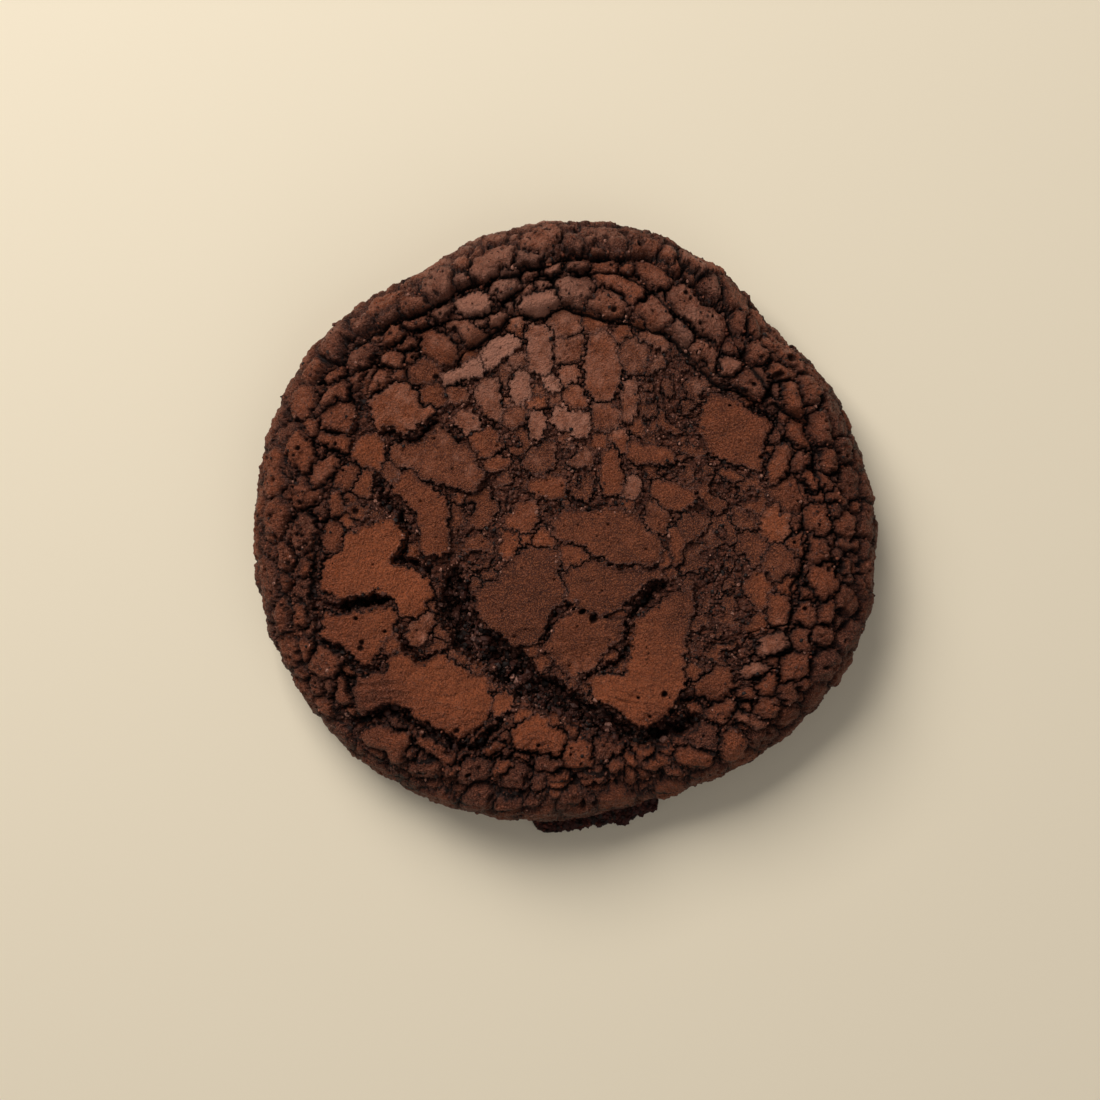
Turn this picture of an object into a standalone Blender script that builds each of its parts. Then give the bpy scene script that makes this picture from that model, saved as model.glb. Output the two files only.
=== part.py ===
"""A crackle-top brownie cookie: one thick, round, solid cookie.

Its crust has broken into flat plates over the middle, is folded and pebbled round the rim, and gapes open
along a fallen trench. A torn foot of crumb sticks out at the front of the base.

All sizes are in millimetres on the finished cookie, seen from above with +X right and +Y to the back, and
are turned into metres when the mesh is made. The origin is the middle of the flat base.
"""

import math
import random

import bmesh
import bpy
import numpy as np
from mathutils import Vector, geometry, kdtree, noise

MM = 0.001
SEED = 11

# The outline seen from above, as its radius every 15 degrees, counter-clockwise from +X.
OUTLINE = (
    52.4, 51.3, 50.6, 48.7, 50.7, 51.3, 51.5, 50.9, 49.5, 50.9, 52.3, 52.2,
    52.4, 52.8, 52.9, 52.7, 52.0, 50.6, 49.6, 48.3, 49.5, 51.5, 52.9, 53.0,
)

# The body. The middle has settled below the rim, and the front flank slopes more than the others.
RIM_HEIGHT = 15.8
CENTRE_HEIGHT = 13.4
SHOULDER = 8.5
BELLY_HEIGHT = 6.5
UNDERCUT = 3.6
FRONT_ANGLE = math.radians(268)
FRONT_SPREAD = math.radians(34)
FRONT_SHOULDER = 11.0
FRONT_BELLY_HEIGHT = 2.6
FRONT_UNDERCUT = 0.8
SWELL = 0.7
SWELL_LENGTH = 21.0

# The surface is drawn on a flat disc: the top out to TOP_SHARE of its radius, then the flank down to the
# widest level at BELLY_SHARE of what is left, and the rest curls under to the base.
DISC = 65.0
TOP_SHARE = 0.66
BELLY_SHARE = 0.63

# The torn foot: (direction in degrees, half its spread, how far it sticks out, how high it reaches).
FOOT = ((273.5, 7.0, 2.4, 3.6), (284.5, 3.6, 3.0, 4.2))

# Flat plates of crust, as strokes of a round brush: plate name, then (x, y, x, y, brush radius) each.
PLATES = {
    "upper_left": ((-28.5, 19.6, -24.5, 19.2, 3.4),),
    "left_of_middle": ((-25.5, 12.2, -18.0, 11.0, 3.2), (-20.0, 9.5, -16.0, 9.0, 2.5)),
    "left_ragged": ((-26.0, 6.5, -22.0, 3.0, 2.3), (-22.0, 2.0, -21.5, -2.5, 2.3)),
    "anvil": (
        (-36.5, -7.5, -31.5, -4.0, 3.4),
        (-31.0, -6.0, -26.0, -10.0, 2.6),
        (-25.3, -11.0, -25.5, -12.5, 2.0),
        (-30.0, -1.5, -28.5, -1.0, 2.0),
    ),
    "under_the_slit": ((-38.0, -16.5, -31.0, -16.0, 2.0), (-34.0, -18.5, -33.5, -20.5, 1.9)),
    "left_boat": (
        (-32.3, -27.5, -27.0, -25.5, 2.6),
        (-26.0, -26.0, -17.0, -29.0, 3.9),
        (-17.0, -30.0, -16.5, -32.0, 3.4),
    ),
    "left_sliver": ((-37.0, -26.3, -36.3, -28.8, 1.3),),
    "small_leaf": ((-24.5, -18.0, -22.8, -15.5, 1.5),),
    "front_left": ((-31.5, -35.5, -28.0, -35.5, 2.2), (-29.0, -37.0, -28.5, -38.0, 1.6)),
    "front_left_strip": ((-23.5, -35.6, -19.0, -38.7, 0.9),),
    "front_middle": ((-6.5, -34.5, -1.5, -36.0, 2.4),),
    "front_wedge": ((-13.2, -37.2, -10.3, -36.3, 0.9),),
    "heart": ((-6.0, -6.5, -5.0, -9.0, 3.2), (-10.5, -12.0, -5.0, -14.5, 3.8)),
    "middle": ((1.0, 0.0, 10.5, 0.0, 2.8), (6.0, -3.0, 13.5, -3.8, 2.6)),
    "below_middle": ((4.0, -9.3, 11.0, -9.2, 2.4), (5.0, -11.5, 7.5, -12.0, 2.2)),
    "paw": ((2.5, -17.2, 7.5, -17.5, 2.1), (1.5, -19.5, 3.5, -21.0, 2.4)),
    "boot": (
        (19.5, -13.2, 15.0, -19.0, 2.9),
        (15.0, -22.0, 15.5, -28.5, 3.9),
        (8.0, -27.2, 12.5, -29.0, 2.4),
    ),
    "right_mitten": ((25.5, 18.5, 30.5, 16.8, 3.0), (28.5, 14.0, 30.5, 12.0, 3.0)),
    "right_bean": ((36.6, 12.8, 35.0, 8.5, 1.5),),
    "right_of_middle": ((12.0, 12.2, 16.3, 11.8, 2.1),),
    "right_tongue": ((17.0, 5.5, 19.5, 5.0, 2.3),),
    "middle_tall": ((7.9, 11.0, 8.0, 6.5, 1.7),),
    "middle_chip": ((11.5, 7.2, 11.6, 6.0, 1.5),),
    "back_tall": ((6.3, 29.5, 6.5, 23.5, 2.7),),
    "back_slim": ((11.3, 23.0, 10.5, 18.5, 1.4),),
    "back_pale": ((0.0, 18.0, 2.5, 17.2, 2.0),),
    "back_left_tall": ((-4.3, 31.5, -4.0, 27.5, 1.9),),
    "back_left_round": ((-7.2, 24.0, -7.2, 22.0, 1.7),),
    "back_left_block": ((-12.5, 23.0, -11.7, 19.5, 2.0),),
    "back_left_drop": ((-4.7, 17.5, -4.2, 15.8, 1.5),),
    "back_left_ridge": ((-18.0, 25.0, -13.0, 27.3, 1.0),),
    "back_left_shield": ((-22.5, 30.5, -20.0, 29.0, 2.3),),
    "left_kite": ((-16.8, 18.0, -15.8, 17.0, 1.6),),
    "left_button": ((-29.0, 27.5, -28.0, 27.7, 1.9),),
    "left_square": ((-43.8, 13.0, -43.3, 11.5, 2.6),),
    "left_tile": ((-38.8, 14.5, -36.8, 13.8, 1.5),),
    "left_tooth": ((-40.8, 8.2, -38.6, 10.5, 1.5),),
    "left_knuckle": ((-38.6, 21.8, -37.2, 22.2, 1.9),),
    "fold_roll_left": ((-16.8, 37.0, -13.2, 37.5, 1.4),),
    "fold_roll_right": ((-5.8, 37.3, -2.5, 38.2, 1.7),),
    "fold_pebble": ((27.5, 26.7, 27.8, 26.2, 1.8),),
    "rim_bean": ((37.3, 22.8, 38.0, 19.5, 1.6),),
    "right_shield": ((42.5, -8.0, 43.0, -9.8, 2.2),),
    "right_tile": ((40.0, -14.5, 40.3, -14.8, 1.8),),
    "right_post": ((35.6, -12.8, 35.3, -15.3, 1.6),),
    "right_pale": ((33.8, -20.0, 35.8, -19.3, 1.5),),
    "front_right_round": ((28.5, -36.0, 28.6, -38.0, 2.1),),
    "front_right_shell": ((29.5, -31.5, 33.0, -33.0, 1.4),),
}

# Open crevices: the path (x, y), the half width along it, and the depth.
CREVICES = {
    "trench": (
        ((-19, -5.5), (-17.8, -10), (-18, -14), (-15.5, -18.5), (-10.5, -22), (-7, -26), (-2, -28.5),
         (4, -31.5), (9, -34), (14.5, -35), (19.5, -33.2), (23.5, -31.5)),
        (0.9, 1.8, 1.6, 2.4, 2.0, 1.7, 1.9, 1.7, 1.4, 1.2, 1.4, 0.8),
        5.4,
    ),
    "slit": (((-40.5, -12.6), (-36, -13.1), (-31.5, -12.2), (-28, -12.8)), (0.7, 1.0, 1.0, 0.7), 4.5),
    "left_long": (
        ((-31.3, 9), (-30.2, 6), (-29.8, 3.5), (-27, 2), (-25.9, -1), (-26.6, -3.5), (-27.8, -5.3),
         (-25.3, -6), (-22.8, -7.3), (-21.6, -10)),
        (0.6, 0.8, 1.0, 0.8, 0.6, 0.6, 0.9, 0.8, 0.7, 0.5),
        3.2,
    ),
    "upper_left": (
        ((-31.5, 15), (-28.5, 15.4), (-26, 14.6), (-24.3, 14.9), (-22.5, 16.6), (-20, 18.2)),
        (0.6, 0.8, 0.6, 0.6, 0.8, 0.5),
        3.0,
    ),
    "hook": (((-27.6, -16.5), (-26.3, -20), (-24, -21.6), (-20, -21.2)), (0.5, 0.7, 0.7, 0.5), 2.6),
    "front_left": (
        ((-39.5, -31), (-36.3, -33.2), (-33.5, -32.6), (-29.5, -30.6), (-27.6, -30.3), (-24.5, -33),
         (-21, -34.6), (-18, -37), (-15, -36.6), (-11.5, -33.6), (-8, -30.3)),
        (0.6, 0.9, 0.9, 0.9, 0.7, 0.8, 0.8, 0.9, 0.9, 0.9, 1.1),
        3.4,
    ),
    "boot_left": (
        ((19.5, -8.8), (15, -10.8), (12.8, -13.2), (10.6, -16.3), (10.4, -20), (8.8, -22.8), (5, -24.3),
         (3, -25.5)),
        (0.6, 1.3, 1.2, 0.6, 0.5, 0.5, 0.6, 0.6),
        2.8,
    ),
    "boot_toe": (((18.3, -30.0), (19.8, -28.8), (22.5, -28.6)), (0.8, 1.1, 0.6), 2.6),
    "heart_right": (((2.5, -12.6), (-1, -13.6), (-2.2, -17), (-4.5, -19.3)), (0.4, 0.5, 0.5, 0.4), 1.8),
    "left_edge": (((-40.8, 1), (-40.9, -5), (-41.3, -11), (-40.7, -17), (-41.5, -20.5)), (0.6,) * 5, 1.8),
    "left_seam": (((-33.2, 23), (-33.8, 19), (-35, 14.5), (-36.3, 11.3)), (0.5,) * 4, 1.8),
    "corner": (((-38, -19.8), (-36.3, -21.3), (-34.8, -23.2), (-31.5, -23.6), (-30, -23)), (0.6,) * 5, 2.4),
    "front_crease": (
        ((-39.5, -28.5), (-37, -31.5), (-35, -35.5), (-33, -38.3), (-29, -41.3), (-26, -43.8)),
        (0.6,) * 6,
        2.0,
    ),
}
WALL = 0.9
TRENCH_SAG = 1.6
TRENCH_SAG_WIDTH = 6.0

# Folds of the crust round the rim: the line (x, y) where the surface steps up, going outwards, and by how
# much. It falls back over FOLD_RUN.
FOLDS = {
    "outer": (
        ((-43, 22.5), (-40, 25.3), (-36.5, 28.6), (-33, 31.6), (-28, 34), (-23, 35.6), (-18.5, 38.8),
         (-12, 40.4), (-4, 43), (-0.5, 45), (6, 44.3), (14, 44.8), (17.5, 42), (22.5, 39.5), (27.5, 34),
         (29, 30), (32.5, 24.5), (36, 19), (40.3, 17), (41.7, 12), (41.5, 4)),
        1.9,
    ),
    "middle": (
        ((-33.5, 20), (-32, 25), (-29.5, 30.2), (-24, 33.4), (-19, 35.6), (-13, 38.6), (-8, 38.3), (-5, 40.7),
         (2, 41.7), (9, 42.2), (14, 39.6), (17.5, 35.8), (22, 32), (26, 29.3)),
        1.1,
    ),
    "inner": (
        ((-20, 25.5), (-16.5, 29.3), (-12.5, 31.5), (-8.5, 35), (-4.5, 34.6), (0, 36.3), (5, 35.2), (12, 33),
         (16.5, 32), (21, 27.6), (26, 23.7), (31.5, 21), (35, 17), (38.5, 12)),
        1.5,
    ),
    "right": (((49.5, 1), (49.2, -5), (48.3, -10), (50, -14), (46, -18), (42, -22), (40.3, -29)), 0.9),
    "right_inner": (((38.5, 9), (40, 3), (40.2, -5), (38, -11), (37.8, -16.3), (31, -18), (27, -24)), 0.9),
    "front": (((-16, -38.6), (-8, -38.3), (-4.5, -40.9), (3, -41.8)), 0.8),
    "front_low": (((-27, -42), (-15, -43.6), (-5, -44.2), (5, -43.8), (14, -43.4), (24, -40.5)), 0.9),
    "left_low": (((-46.5, 14), (-45.5, 5), (-45, -5), (-46, -12), (-45, -20), (-42, -27)), 0.8),
}
FOLD_RUN = 3.6
FOLD_DIP = 0.45
FOLD_DIP_RUN = 1.3
FOLD_EDGE = 0.5

# The smaller pieces of crust between the plates, by zone: width, and how much longer than wide.
PEBBLES = {"centre": (4.3, 1.0), "rim": (3.7, 1.4), "flank": (4.2, 1.35)}
PEBBLE_SIZES = (1.15, 1.0, 0.85, 0.7)
PEBBLE_TRIES = 5000
PEBBLE_TURN = 0.35
RIM_ZONE = (34.0, 41.0)
FLANK_ZONE = 54.0

# The cracks between all these pieces: half width, depth, and how much higher the middle of a piece is.
CRACKS = {"centre": (0.7, 0.9, 0.15), "rim": (0.8, 1.1, 0.6)}
PIECE_OFFSET = 0.26
FLANK_SHARE = 0.6

# How the mesh follows the crust: rows of points along crevices and folds, points on the cracks, and points
# set in from the cracks. NEAR is how close a point of each kind may be to an earlier one. The guards are
# seeds outside the disc, which close the outermost pieces.
BRUSH_INSET = 1.7
BRUSH_STEP = 2.1
ROW_STEP = 2.0
INSET = 0.93
WIDE_CREVICE = 1.0
GUARDS = 96
NEAR = {"row": 0.45, "crack": 0.7, "inset": 0.85, "middle": 1.15}
BASE_POINTS = 140


def smooth(low, high, value):
    """0 below low and 1 above high, with a soft step between them."""
    share = np.clip((value - low) / (high - low), 0.0, 1.0)
    return share * share * (3.0 - 2.0 * share)


def mix(first, second, share):
    return first + (second - first) * share


def wrapped(angle):
    """An angle brought to between minus pi and pi."""
    return (angle + math.pi) % (2.0 * math.pi) - math.pi


def length_of(points):
    return np.hypot(points[..., 0], points[..., 1])


def outline_radius(angle):
    """The outline's radius: a smooth closed curve through OUTLINE."""
    count = len(OUTLINE)
    place = (angle % (2.0 * math.pi)) / (2.0 * math.pi) * count
    index = np.floor(place).astype(int)
    t = place - index
    radius = np.array(OUTLINE)
    before, here, there, after = (radius[(index + k) % count] for k in (-1, 0, 1, 2))
    bend = 2 * before - 5 * here + 4 * there - after + t * (3 * (here - there) + after - before)
    return here + 0.5 * t * (there - before + t * bend)


def noise_at(points, length, offset=0.0):
    """Smooth noise between about -1 and 1, with features of the given length."""
    shift = Vector((offset, 0.0, offset))
    return np.array([noise.noise(Vector(point) / length + shift) for point in points.tolist()])


def body_surface(disc):
    """The cookie's plain body at points of the flat disc: places, outward normals, and how far down the
    flank each is, from 0 on top to 1 at the base."""
    share = length_of(disc) / DISC
    angle = np.arctan2(disc[:, 1], disc[:, 0])
    front = np.exp(-((wrapped(angle - FRONT_ANGLE) / FRONT_SPREAD) ** 2))
    outer = outline_radius(angle)
    shoulder = mix(SHOULDER, FRONT_SHOULDER, front)
    belly = mix(BELLY_HEIGHT, FRONT_BELLY_HEIGHT, front)
    undercut = mix(UNDERCUT, FRONT_UNDERCUT, front)
    down = np.clip((share - TOP_SHARE) / (1.0 - TOP_SHARE), 0.0, 1.0)
    upper = np.clip(down / BELLY_SHARE, 0.0, 1.0) * math.pi / 2
    lower = np.clip((down - BELLY_SHARE) / (1.0 - BELLY_SHARE), 0.0, 1.0) * math.pi / 2

    inner = outer - shoulder
    flat = inner * np.minimum(share / TOP_SHARE, 1.0)
    radius = flat + shoulder * np.sin(upper) - undercut * (1.0 - np.cos(lower))
    top = mix(CENTRE_HEIGHT, RIM_HEIGHT, smooth(0.55, 0.95, flat / inner))
    height = belly * (1.0 - np.sin(lower)) + (top - belly) * np.cos(upper)

    out = np.where(lower > 0, np.cos(lower) * belly, np.sin(upper) * (top - belly))
    up = np.where(lower > 0, -np.sin(lower) * undercut, np.cos(upper) * shoulder)
    size = np.hypot(out, up)
    across, along = np.cos(angle), np.sin(angle)
    places = np.stack([radius * across, radius * along, height], 1)
    normals = np.stack([out / size * across, out / size * along, up / size], 1)
    return places, normals, down


def disc_points(plan):
    """The points of the flat disc that lie at (x, y) on the cookie's top or shoulder, seen from above."""
    plan = np.asarray(plan, float)
    angle = np.arctan2(plan[:, 1], plan[:, 0])
    front = np.exp(-((wrapped(angle - FRONT_ANGLE) / FRONT_SPREAD) ** 2))
    shoulder = mix(SHOULDER, FRONT_SHOULDER, front)
    inner = outline_radius(angle) - shoulder
    beyond = np.clip((length_of(plan) - inner) / shoulder, 0.0, 1.0)
    share = TOP_SHARE * np.minimum(length_of(plan) / inner, 1.0)
    share += (1.0 - TOP_SHARE) * BELLY_SHARE * np.arcsin(beyond) / (math.pi / 2)
    return np.stack([np.cos(angle), np.sin(angle)], 1) * (share * DISC)[:, None]


def line_distance(points, start, end):
    """Distance from each point to the line from start to end, and the share along it of the nearest place."""
    line = end - start
    share = np.clip((points - start) @ line / max(float(line @ line), 1e-9), 0.0, 1.0)
    return length_of(points - start - share[:, None] * line), share


def path_distance(points, path):
    """Distance from each point to a path, the place along it counted in legs, and the side that the point
    is on: +1 further from the cookie's middle than the path is."""
    best = np.full(len(points), np.inf)
    place, side = np.zeros(len(points)), np.ones(len(points))
    for leg, (start, end) in enumerate(zip(path[:-1], path[1:])):
        distance, share = line_distance(points, start, end)
        nearer = distance < best
        best[nearer] = distance[nearer]
        place[nearer] = leg + share[nearer]
        foot = start + share[:, None] * (end - start)
        side[nearer] = np.sign(((points - foot) * foot).sum(1))[nearer]
    return best, place, side


def even_path(path):
    """Stations along a path, ROW_STEP apart: points, the directions to its left, and places in legs."""
    reach = np.concatenate([[0.0], np.cumsum(length_of(np.diff(path, axis=0)))])
    count = max(int(round(reach[-1] / ROW_STEP)), 2)
    place = np.interp(np.linspace(0.0, reach[-1], count + 1), reach, range(len(path)))
    points = np.stack([np.interp(place, range(len(path)), path[:, axis]) for axis in (0, 1)], 1)
    ahead = np.gradient(points, axis=0)
    left = np.stack([-ahead[:, 1], ahead[:, 0]], 1) / length_of(ahead)[:, None]
    return points, left, place


def crevice_half(place, half_widths):
    """A crevice's half width at places along it, and the share of its depth there: both fall at its ends."""
    ends = np.clip(np.minimum(place, len(half_widths) - 1 - place) / 0.6, 0.0, 1.0)
    return np.interp(place, range(len(half_widths)), half_widths) * mix(0.3, 1.0, ends), mix(0.15, 1.0, ends)


def fold_relief(disc):
    """Height that the folds add, going outwards: a dip, a step up, and a long fall back."""
    relief = np.zeros(len(disc))
    for line, step in FOLDS.values():
        path = disc_points(line)
        distance, place, side = path_distance(disc, path)
        signed = distance * side
        fade = np.clip(np.minimum(place, len(path) - 1 - place) / 1.2, 0.0, 1.0)
        raised = smooth(-FOLD_EDGE, FOLD_EDGE, signed)
        outside = raised * np.exp(-np.maximum(signed - FOLD_EDGE, 0.0) / FOLD_RUN)
        inside = (1.0 - raised) * FOLD_DIP * np.exp(np.minimum(signed, 0.0) / FOLD_DIP_RUN)
        relief += fade * step * (outside - inside)
    return relief


def crevice_relief(disc):
    """Depth of the open crevices, and the sag of the crust towards the trench."""
    relief = np.zeros(len(disc))
    sag = np.zeros(len(disc))
    for name, (line, half_widths, depth) in CREVICES.items():
        distance, place, _ = path_distance(disc, disc_points(line))
        half, share = crevice_half(place, half_widths)
        relief = np.minimum(relief, -depth * share * np.clip(1.0 - (distance - half) / WALL, 0.0, 1.0))
        if name == "trench":
            sag = TRENCH_SAG * np.exp(-((distance / TRENCH_SAG_WIDTH) ** 2))
    return relief - sag


class Crust:
    """The pieces that the crust has broken into. Each is a group of seeds, and a crack runs midway between
    the seeds of two pieces. A seed's reach is how far it is from the edge of its piece."""

    def __init__(self):
        self.seeds = np.zeros((0, 2))
        self.reach = np.zeros(0)
        self.piece = np.zeros(0, int)
        for strokes in PLATES.values():
            self.brush([(*disc_points([stroke[:2], stroke[2:4]]), stroke[4]) for stroke in strokes])
        self.scatter()
        self.tree = kdtree.KDTree(len(self.seeds))
        for number, (x, y) in enumerate(self.seeds.tolist()):
            self.tree.insert((x, y, 0.0), number)
        self.tree.balance()

    def add(self, seeds, reach):
        number = self.piece[-1] + 1 if len(self.piece) else 0
        self.seeds = np.concatenate([self.seeds, seeds])
        self.reach = np.concatenate([self.reach, np.full(len(seeds), reach)])
        self.piece = np.concatenate([self.piece, np.full(len(seeds), number)])

    def brush(self, strokes):
        """A plate's seeds: round the inside of its wide strokes, and along the narrow ones."""
        seeds = []
        for start, end, radius in strokes:
            length = float(length_of(end - start))
            ahead = (end - start) / max(length, 1e-6)
            ring = radius - BRUSH_INSET
            if ring < 0.5:
                count = int(round(length / BRUSH_STEP)) + 1
                spots = [start + ahead * length * (k + 0.5) / count for k in range(count)]
            else:
                left = np.array([-ahead[1], ahead[0]])
                bend = math.pi * ring
                count = max(int(round(2 * (length + bend) / BRUSH_STEP)), 4)
                spots = []
                for walk in (2 * (length + bend) * k / count for k in range(count)):
                    middle, turn = (start, 1) if walk < length + bend else (end, -1)
                    walk %= length + bend
                    if walk < length:
                        spots.append(middle + turn * (ahead * walk + left * ring))
                    else:
                        at = (walk - length) / ring
                        corner = middle + turn * ahead * length
                        spots.append(corner + turn * ring * (left * math.cos(at) + ahead * math.sin(at)))
            for spot in spots:
                others = [stroke for stroke in strokes if stroke[0] is not start]
                depths = [r - BRUSH_INSET - line_distance(spot[None], a, b)[0][0] for a, b, r in others]
                if max(depths, default=0.0) < 0.3:
                    seeds.append(spot)
        self.add(np.array(seeds), min(BRUSH_INSET, max(radius for _, _, radius in strokes)))

    def scatter(self):
        """Fills what is left with pebbles, the larger ones first, in rows along the folds."""
        draw = random.Random(SEED)
        lines = [(disc_points(line), np.zeros(len(line))) for line, _ in FOLDS.values()]
        lines += [(disc_points(line), np.array(half)) for line, half, _ in CREVICES.values()]
        for size in PEBBLE_SIZES:
            for _ in range(PEBBLE_TRIES):
                away, angle = DISC * math.sqrt(draw.random()), 2 * math.pi * draw.random()
                zone = "centre" if away < RIM_ZONE[0] + 3 else "rim" if away < FLANK_ZONE else "flank"
                width, stretch = PEBBLES[zone]
                reach = 0.5 * width * size
                turn = angle + draw.uniform(-PEBBLE_TURN, PEBBLE_TURN)
                along = np.array([-math.sin(turn), math.cos(turn)]) * reach * (stretch - 1.0)
                spot = np.array([away * math.cos(angle), away * math.sin(angle)])
                spots = np.array([spot - along, spot + along] if stretch > 1.0 else [spot])
                if away + 0.8 * reach > DISC:
                    continue
                if any((length_of(self.seeds - s) < self.reach + reach).any() for s in spots):
                    continue
                if self.near_line(spots, lines, 0.75 * reach):
                    continue
                self.add(spots, reach)

    def near_line(self, spots, lines, clear):
        for path, half in lines:
            distance, place, _ = path_distance(spots, path)
            if (distance < clear + np.interp(place, range(len(path)), half)).any():
                return True
        return False

    def gaps(self, disc):
        """For each point of the disc, its distance from the nearest crack, and the number of its piece."""
        gap, owner = np.zeros(len(disc)), np.zeros(len(disc), int)
        for number, (x, y) in enumerate(disc.tolist()):
            found = self.tree.find_n((x, y, 0.0), 14)
            owner[number] = self.piece[found[0][1]]
            gap[number] = 5.0
            for place, seed, distance in found[1:]:
                if self.piece[seed] != owner[number]:
                    apart = (place - found[0][0]).length
                    gap[number] = min(gap[number], (distance**2 - found[0][2] ** 2) / (2 * apart))
        return gap, owner


class Points:
    """Points of the mesh on the disc, the base edge first, with the lines that must be edges of it."""

    def __init__(self):
        turns = np.arange(BASE_POINTS) * 2 * math.pi / BASE_POINTS
        self.spots = DISC * np.stack([np.cos(turns), np.sin(turns)], 1)
        self.lines = []

    def add(self, spot, near):
        """The number of this point, or of an earlier one that is near enough to stand for it."""
        distance = length_of(self.spots - spot)
        closest = int(distance.argmin())
        if distance[closest] < near:
            return closest
        self.spots = np.concatenate([self.spots, [spot]])
        return len(self.spots) - 1

    def add_row(self, spots):
        row = [self.add(spot, NEAR["row"]) for spot in spots if length_of(spot) < DISC - 1.0]
        self.lines += [(a, b) for a, b in zip(row[:-1], row[1:]) if a != b]


def add_crevices(points):
    """Rows of points along the top and the foot of each crevice's walls, or one row as a narrow one's floor."""
    for line, half_widths, _ in CREVICES.values():
        spots, left, place = even_path(disc_points(line))
        half, _ = crevice_half(place, half_widths)
        floor = [half, -half] if max(half_widths) > WIDE_CREVICE else [0.0 * half]
        for offset in (half + WALL, *floor, -half - WALL):
            points.add_row(spots + left * offset[:, None])


def add_folds(points):
    """Rows of points along the top and the foot of each fold's step."""
    for line, _ in FOLDS.values():
        spots, left, _ = even_path(disc_points(line))
        for offset in (FOLD_EDGE, -FOLD_EDGE):
            points.add_row(spots + left * offset)


def equally_far(three):
    """The point that is as far from each of three others."""
    (ax, ay), (bx, by), (cx, cy) = three
    a, b, c = (three**2).sum(1)
    x = a * (by - cy) + b * (cy - ay) + c * (ay - by)
    y = a * (cx - bx) + b * (ax - cx) + c * (bx - ax)
    return np.array([x, y]) / (2 * (ax * (by - cy) + bx * (cy - ay) + cx * (ay - by)))


def add_cracks(points, crust):
    """The cracks as edges of the mesh. Returns their corners: each place, and the three seeds round it."""
    turns = np.arange(GUARDS) * 2 * math.pi / GUARDS
    guards = (DISC + 1.5) * np.stack([np.cos(turns), np.sin(turns)], 1)
    seeds = np.concatenate([crust.seeds, guards])
    piece = np.concatenate([crust.piece, np.full(GUARDS, -1)])
    flat = geometry.delaunay_2d_cdt([Vector(p) for p in seeds.tolist()], [], [], 0, 1e-4)
    corners, shared = {}, {}
    for number, triangle in enumerate(flat[2]):
        three = [flat[3][corner][0] for corner in triangle]
        spot = equally_far(seeds[three])
        if len({piece[seed] for seed in three}) < 2 or length_of(spot) > DISC - 1.5:
            continue
        corners[number] = (points.add(spot, NEAR["crack"]), spot, three)
        for first, second in zip(three, three[1:] + three[:1]):
            if piece[first] != piece[second]:
                shared.setdefault((min(first, second), max(first, second)), []).append(number)
    for ends in shared.values():
        line = [corners[end][0] for end in ends]
        if len(line) == 2 and line[0] != line[1]:
            points.lines.append(tuple(line))
    return [(spot, [s for s in three if piece[s] >= 0]) for _, spot, three in corners.values()]


def add_insides(points, crust, corners):
    """Points just inside each corner of a piece, and on the seeds in its middle."""
    insets = []
    for spot, near_seeds in corners:
        for owner in {crust.piece[seed] for seed in near_seeds}:
            ways = crust.seeds[[s for s in near_seeds if crust.piece[s] == owner]] - spot
            way = (ways / length_of(ways)[:, None]).sum(0)
            insets.append(spot + way / length_of(way) * INSET)
    gap, _ = crust.gaps(np.array(insets))
    for spot in np.array(insets)[gap > 0.5 * INSET]:
        points.add(spot, NEAR["inset"])
    for spot in crust.seeds:
        points.add(spot, NEAR["middle"])


def foot_reach(places, down):
    """How far the torn foot pushes each place outwards."""
    angle = np.arctan2(places[:, 1], places[:, 0])
    ragged = noise_at(places, 1.3, 1.0)
    reach = np.zeros(len(places))
    for direction, spread, out, top in FOOT:
        turned = wrapped(angle - math.radians(direction)) / math.radians(spread)
        lobe = 1.0 - smooth(0.75, 1.05, np.abs(turned))
        low = 1.0 - smooth(top - 1.2, top, places[:, 2])
        reach = np.maximum(reach, lobe * low * (out + 0.5 * ragged))
    return reach * smooth(0.7, 0.85, down)


def relief_at(disc, places, down, crust):
    """How far the finished surface stands out from the plain body, along the body's normal."""
    rim = smooth(*RIM_ZONE, length_of(disc))
    gap, owner = crust.gaps(disc)
    draw = np.random.default_rng(SEED).uniform(-1.0, 1.0, crust.piece[-1] + 1)
    half, depth, dome = (mix(a, b, rim) for a, b in zip(CRACKS["centre"], CRACKS["rim"]))
    strength = mix(np.clip(0.75 + 0.9 * noise_at(places, 9.0, 3.0), 0.2, 1.0), 1.0, rim)
    inside = np.clip(gap / half, 0.0, 1.0)
    relief = PIECE_OFFSET * mix(1.0, 1.5, rim) * draw[owner] * inside
    relief += dome * (1.0 - np.exp(-gap / 1.1))
    relief -= strength * depth * (1.0 - inside)
    relief *= mix(1.0, FLANK_SHARE, smooth(0.2, 0.5, down))
    relief += fold_relief(disc) * (1.0 - smooth(0.45, 0.75, down))
    relief += crevice_relief(disc) * (1.0 - smooth(0.1, 0.5, down))
    relief += SWELL * noise_at(places, SWELL_LENGTH, 5.0)
    return relief * (1.0 - smooth(0.9, 1.0, down))


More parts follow.
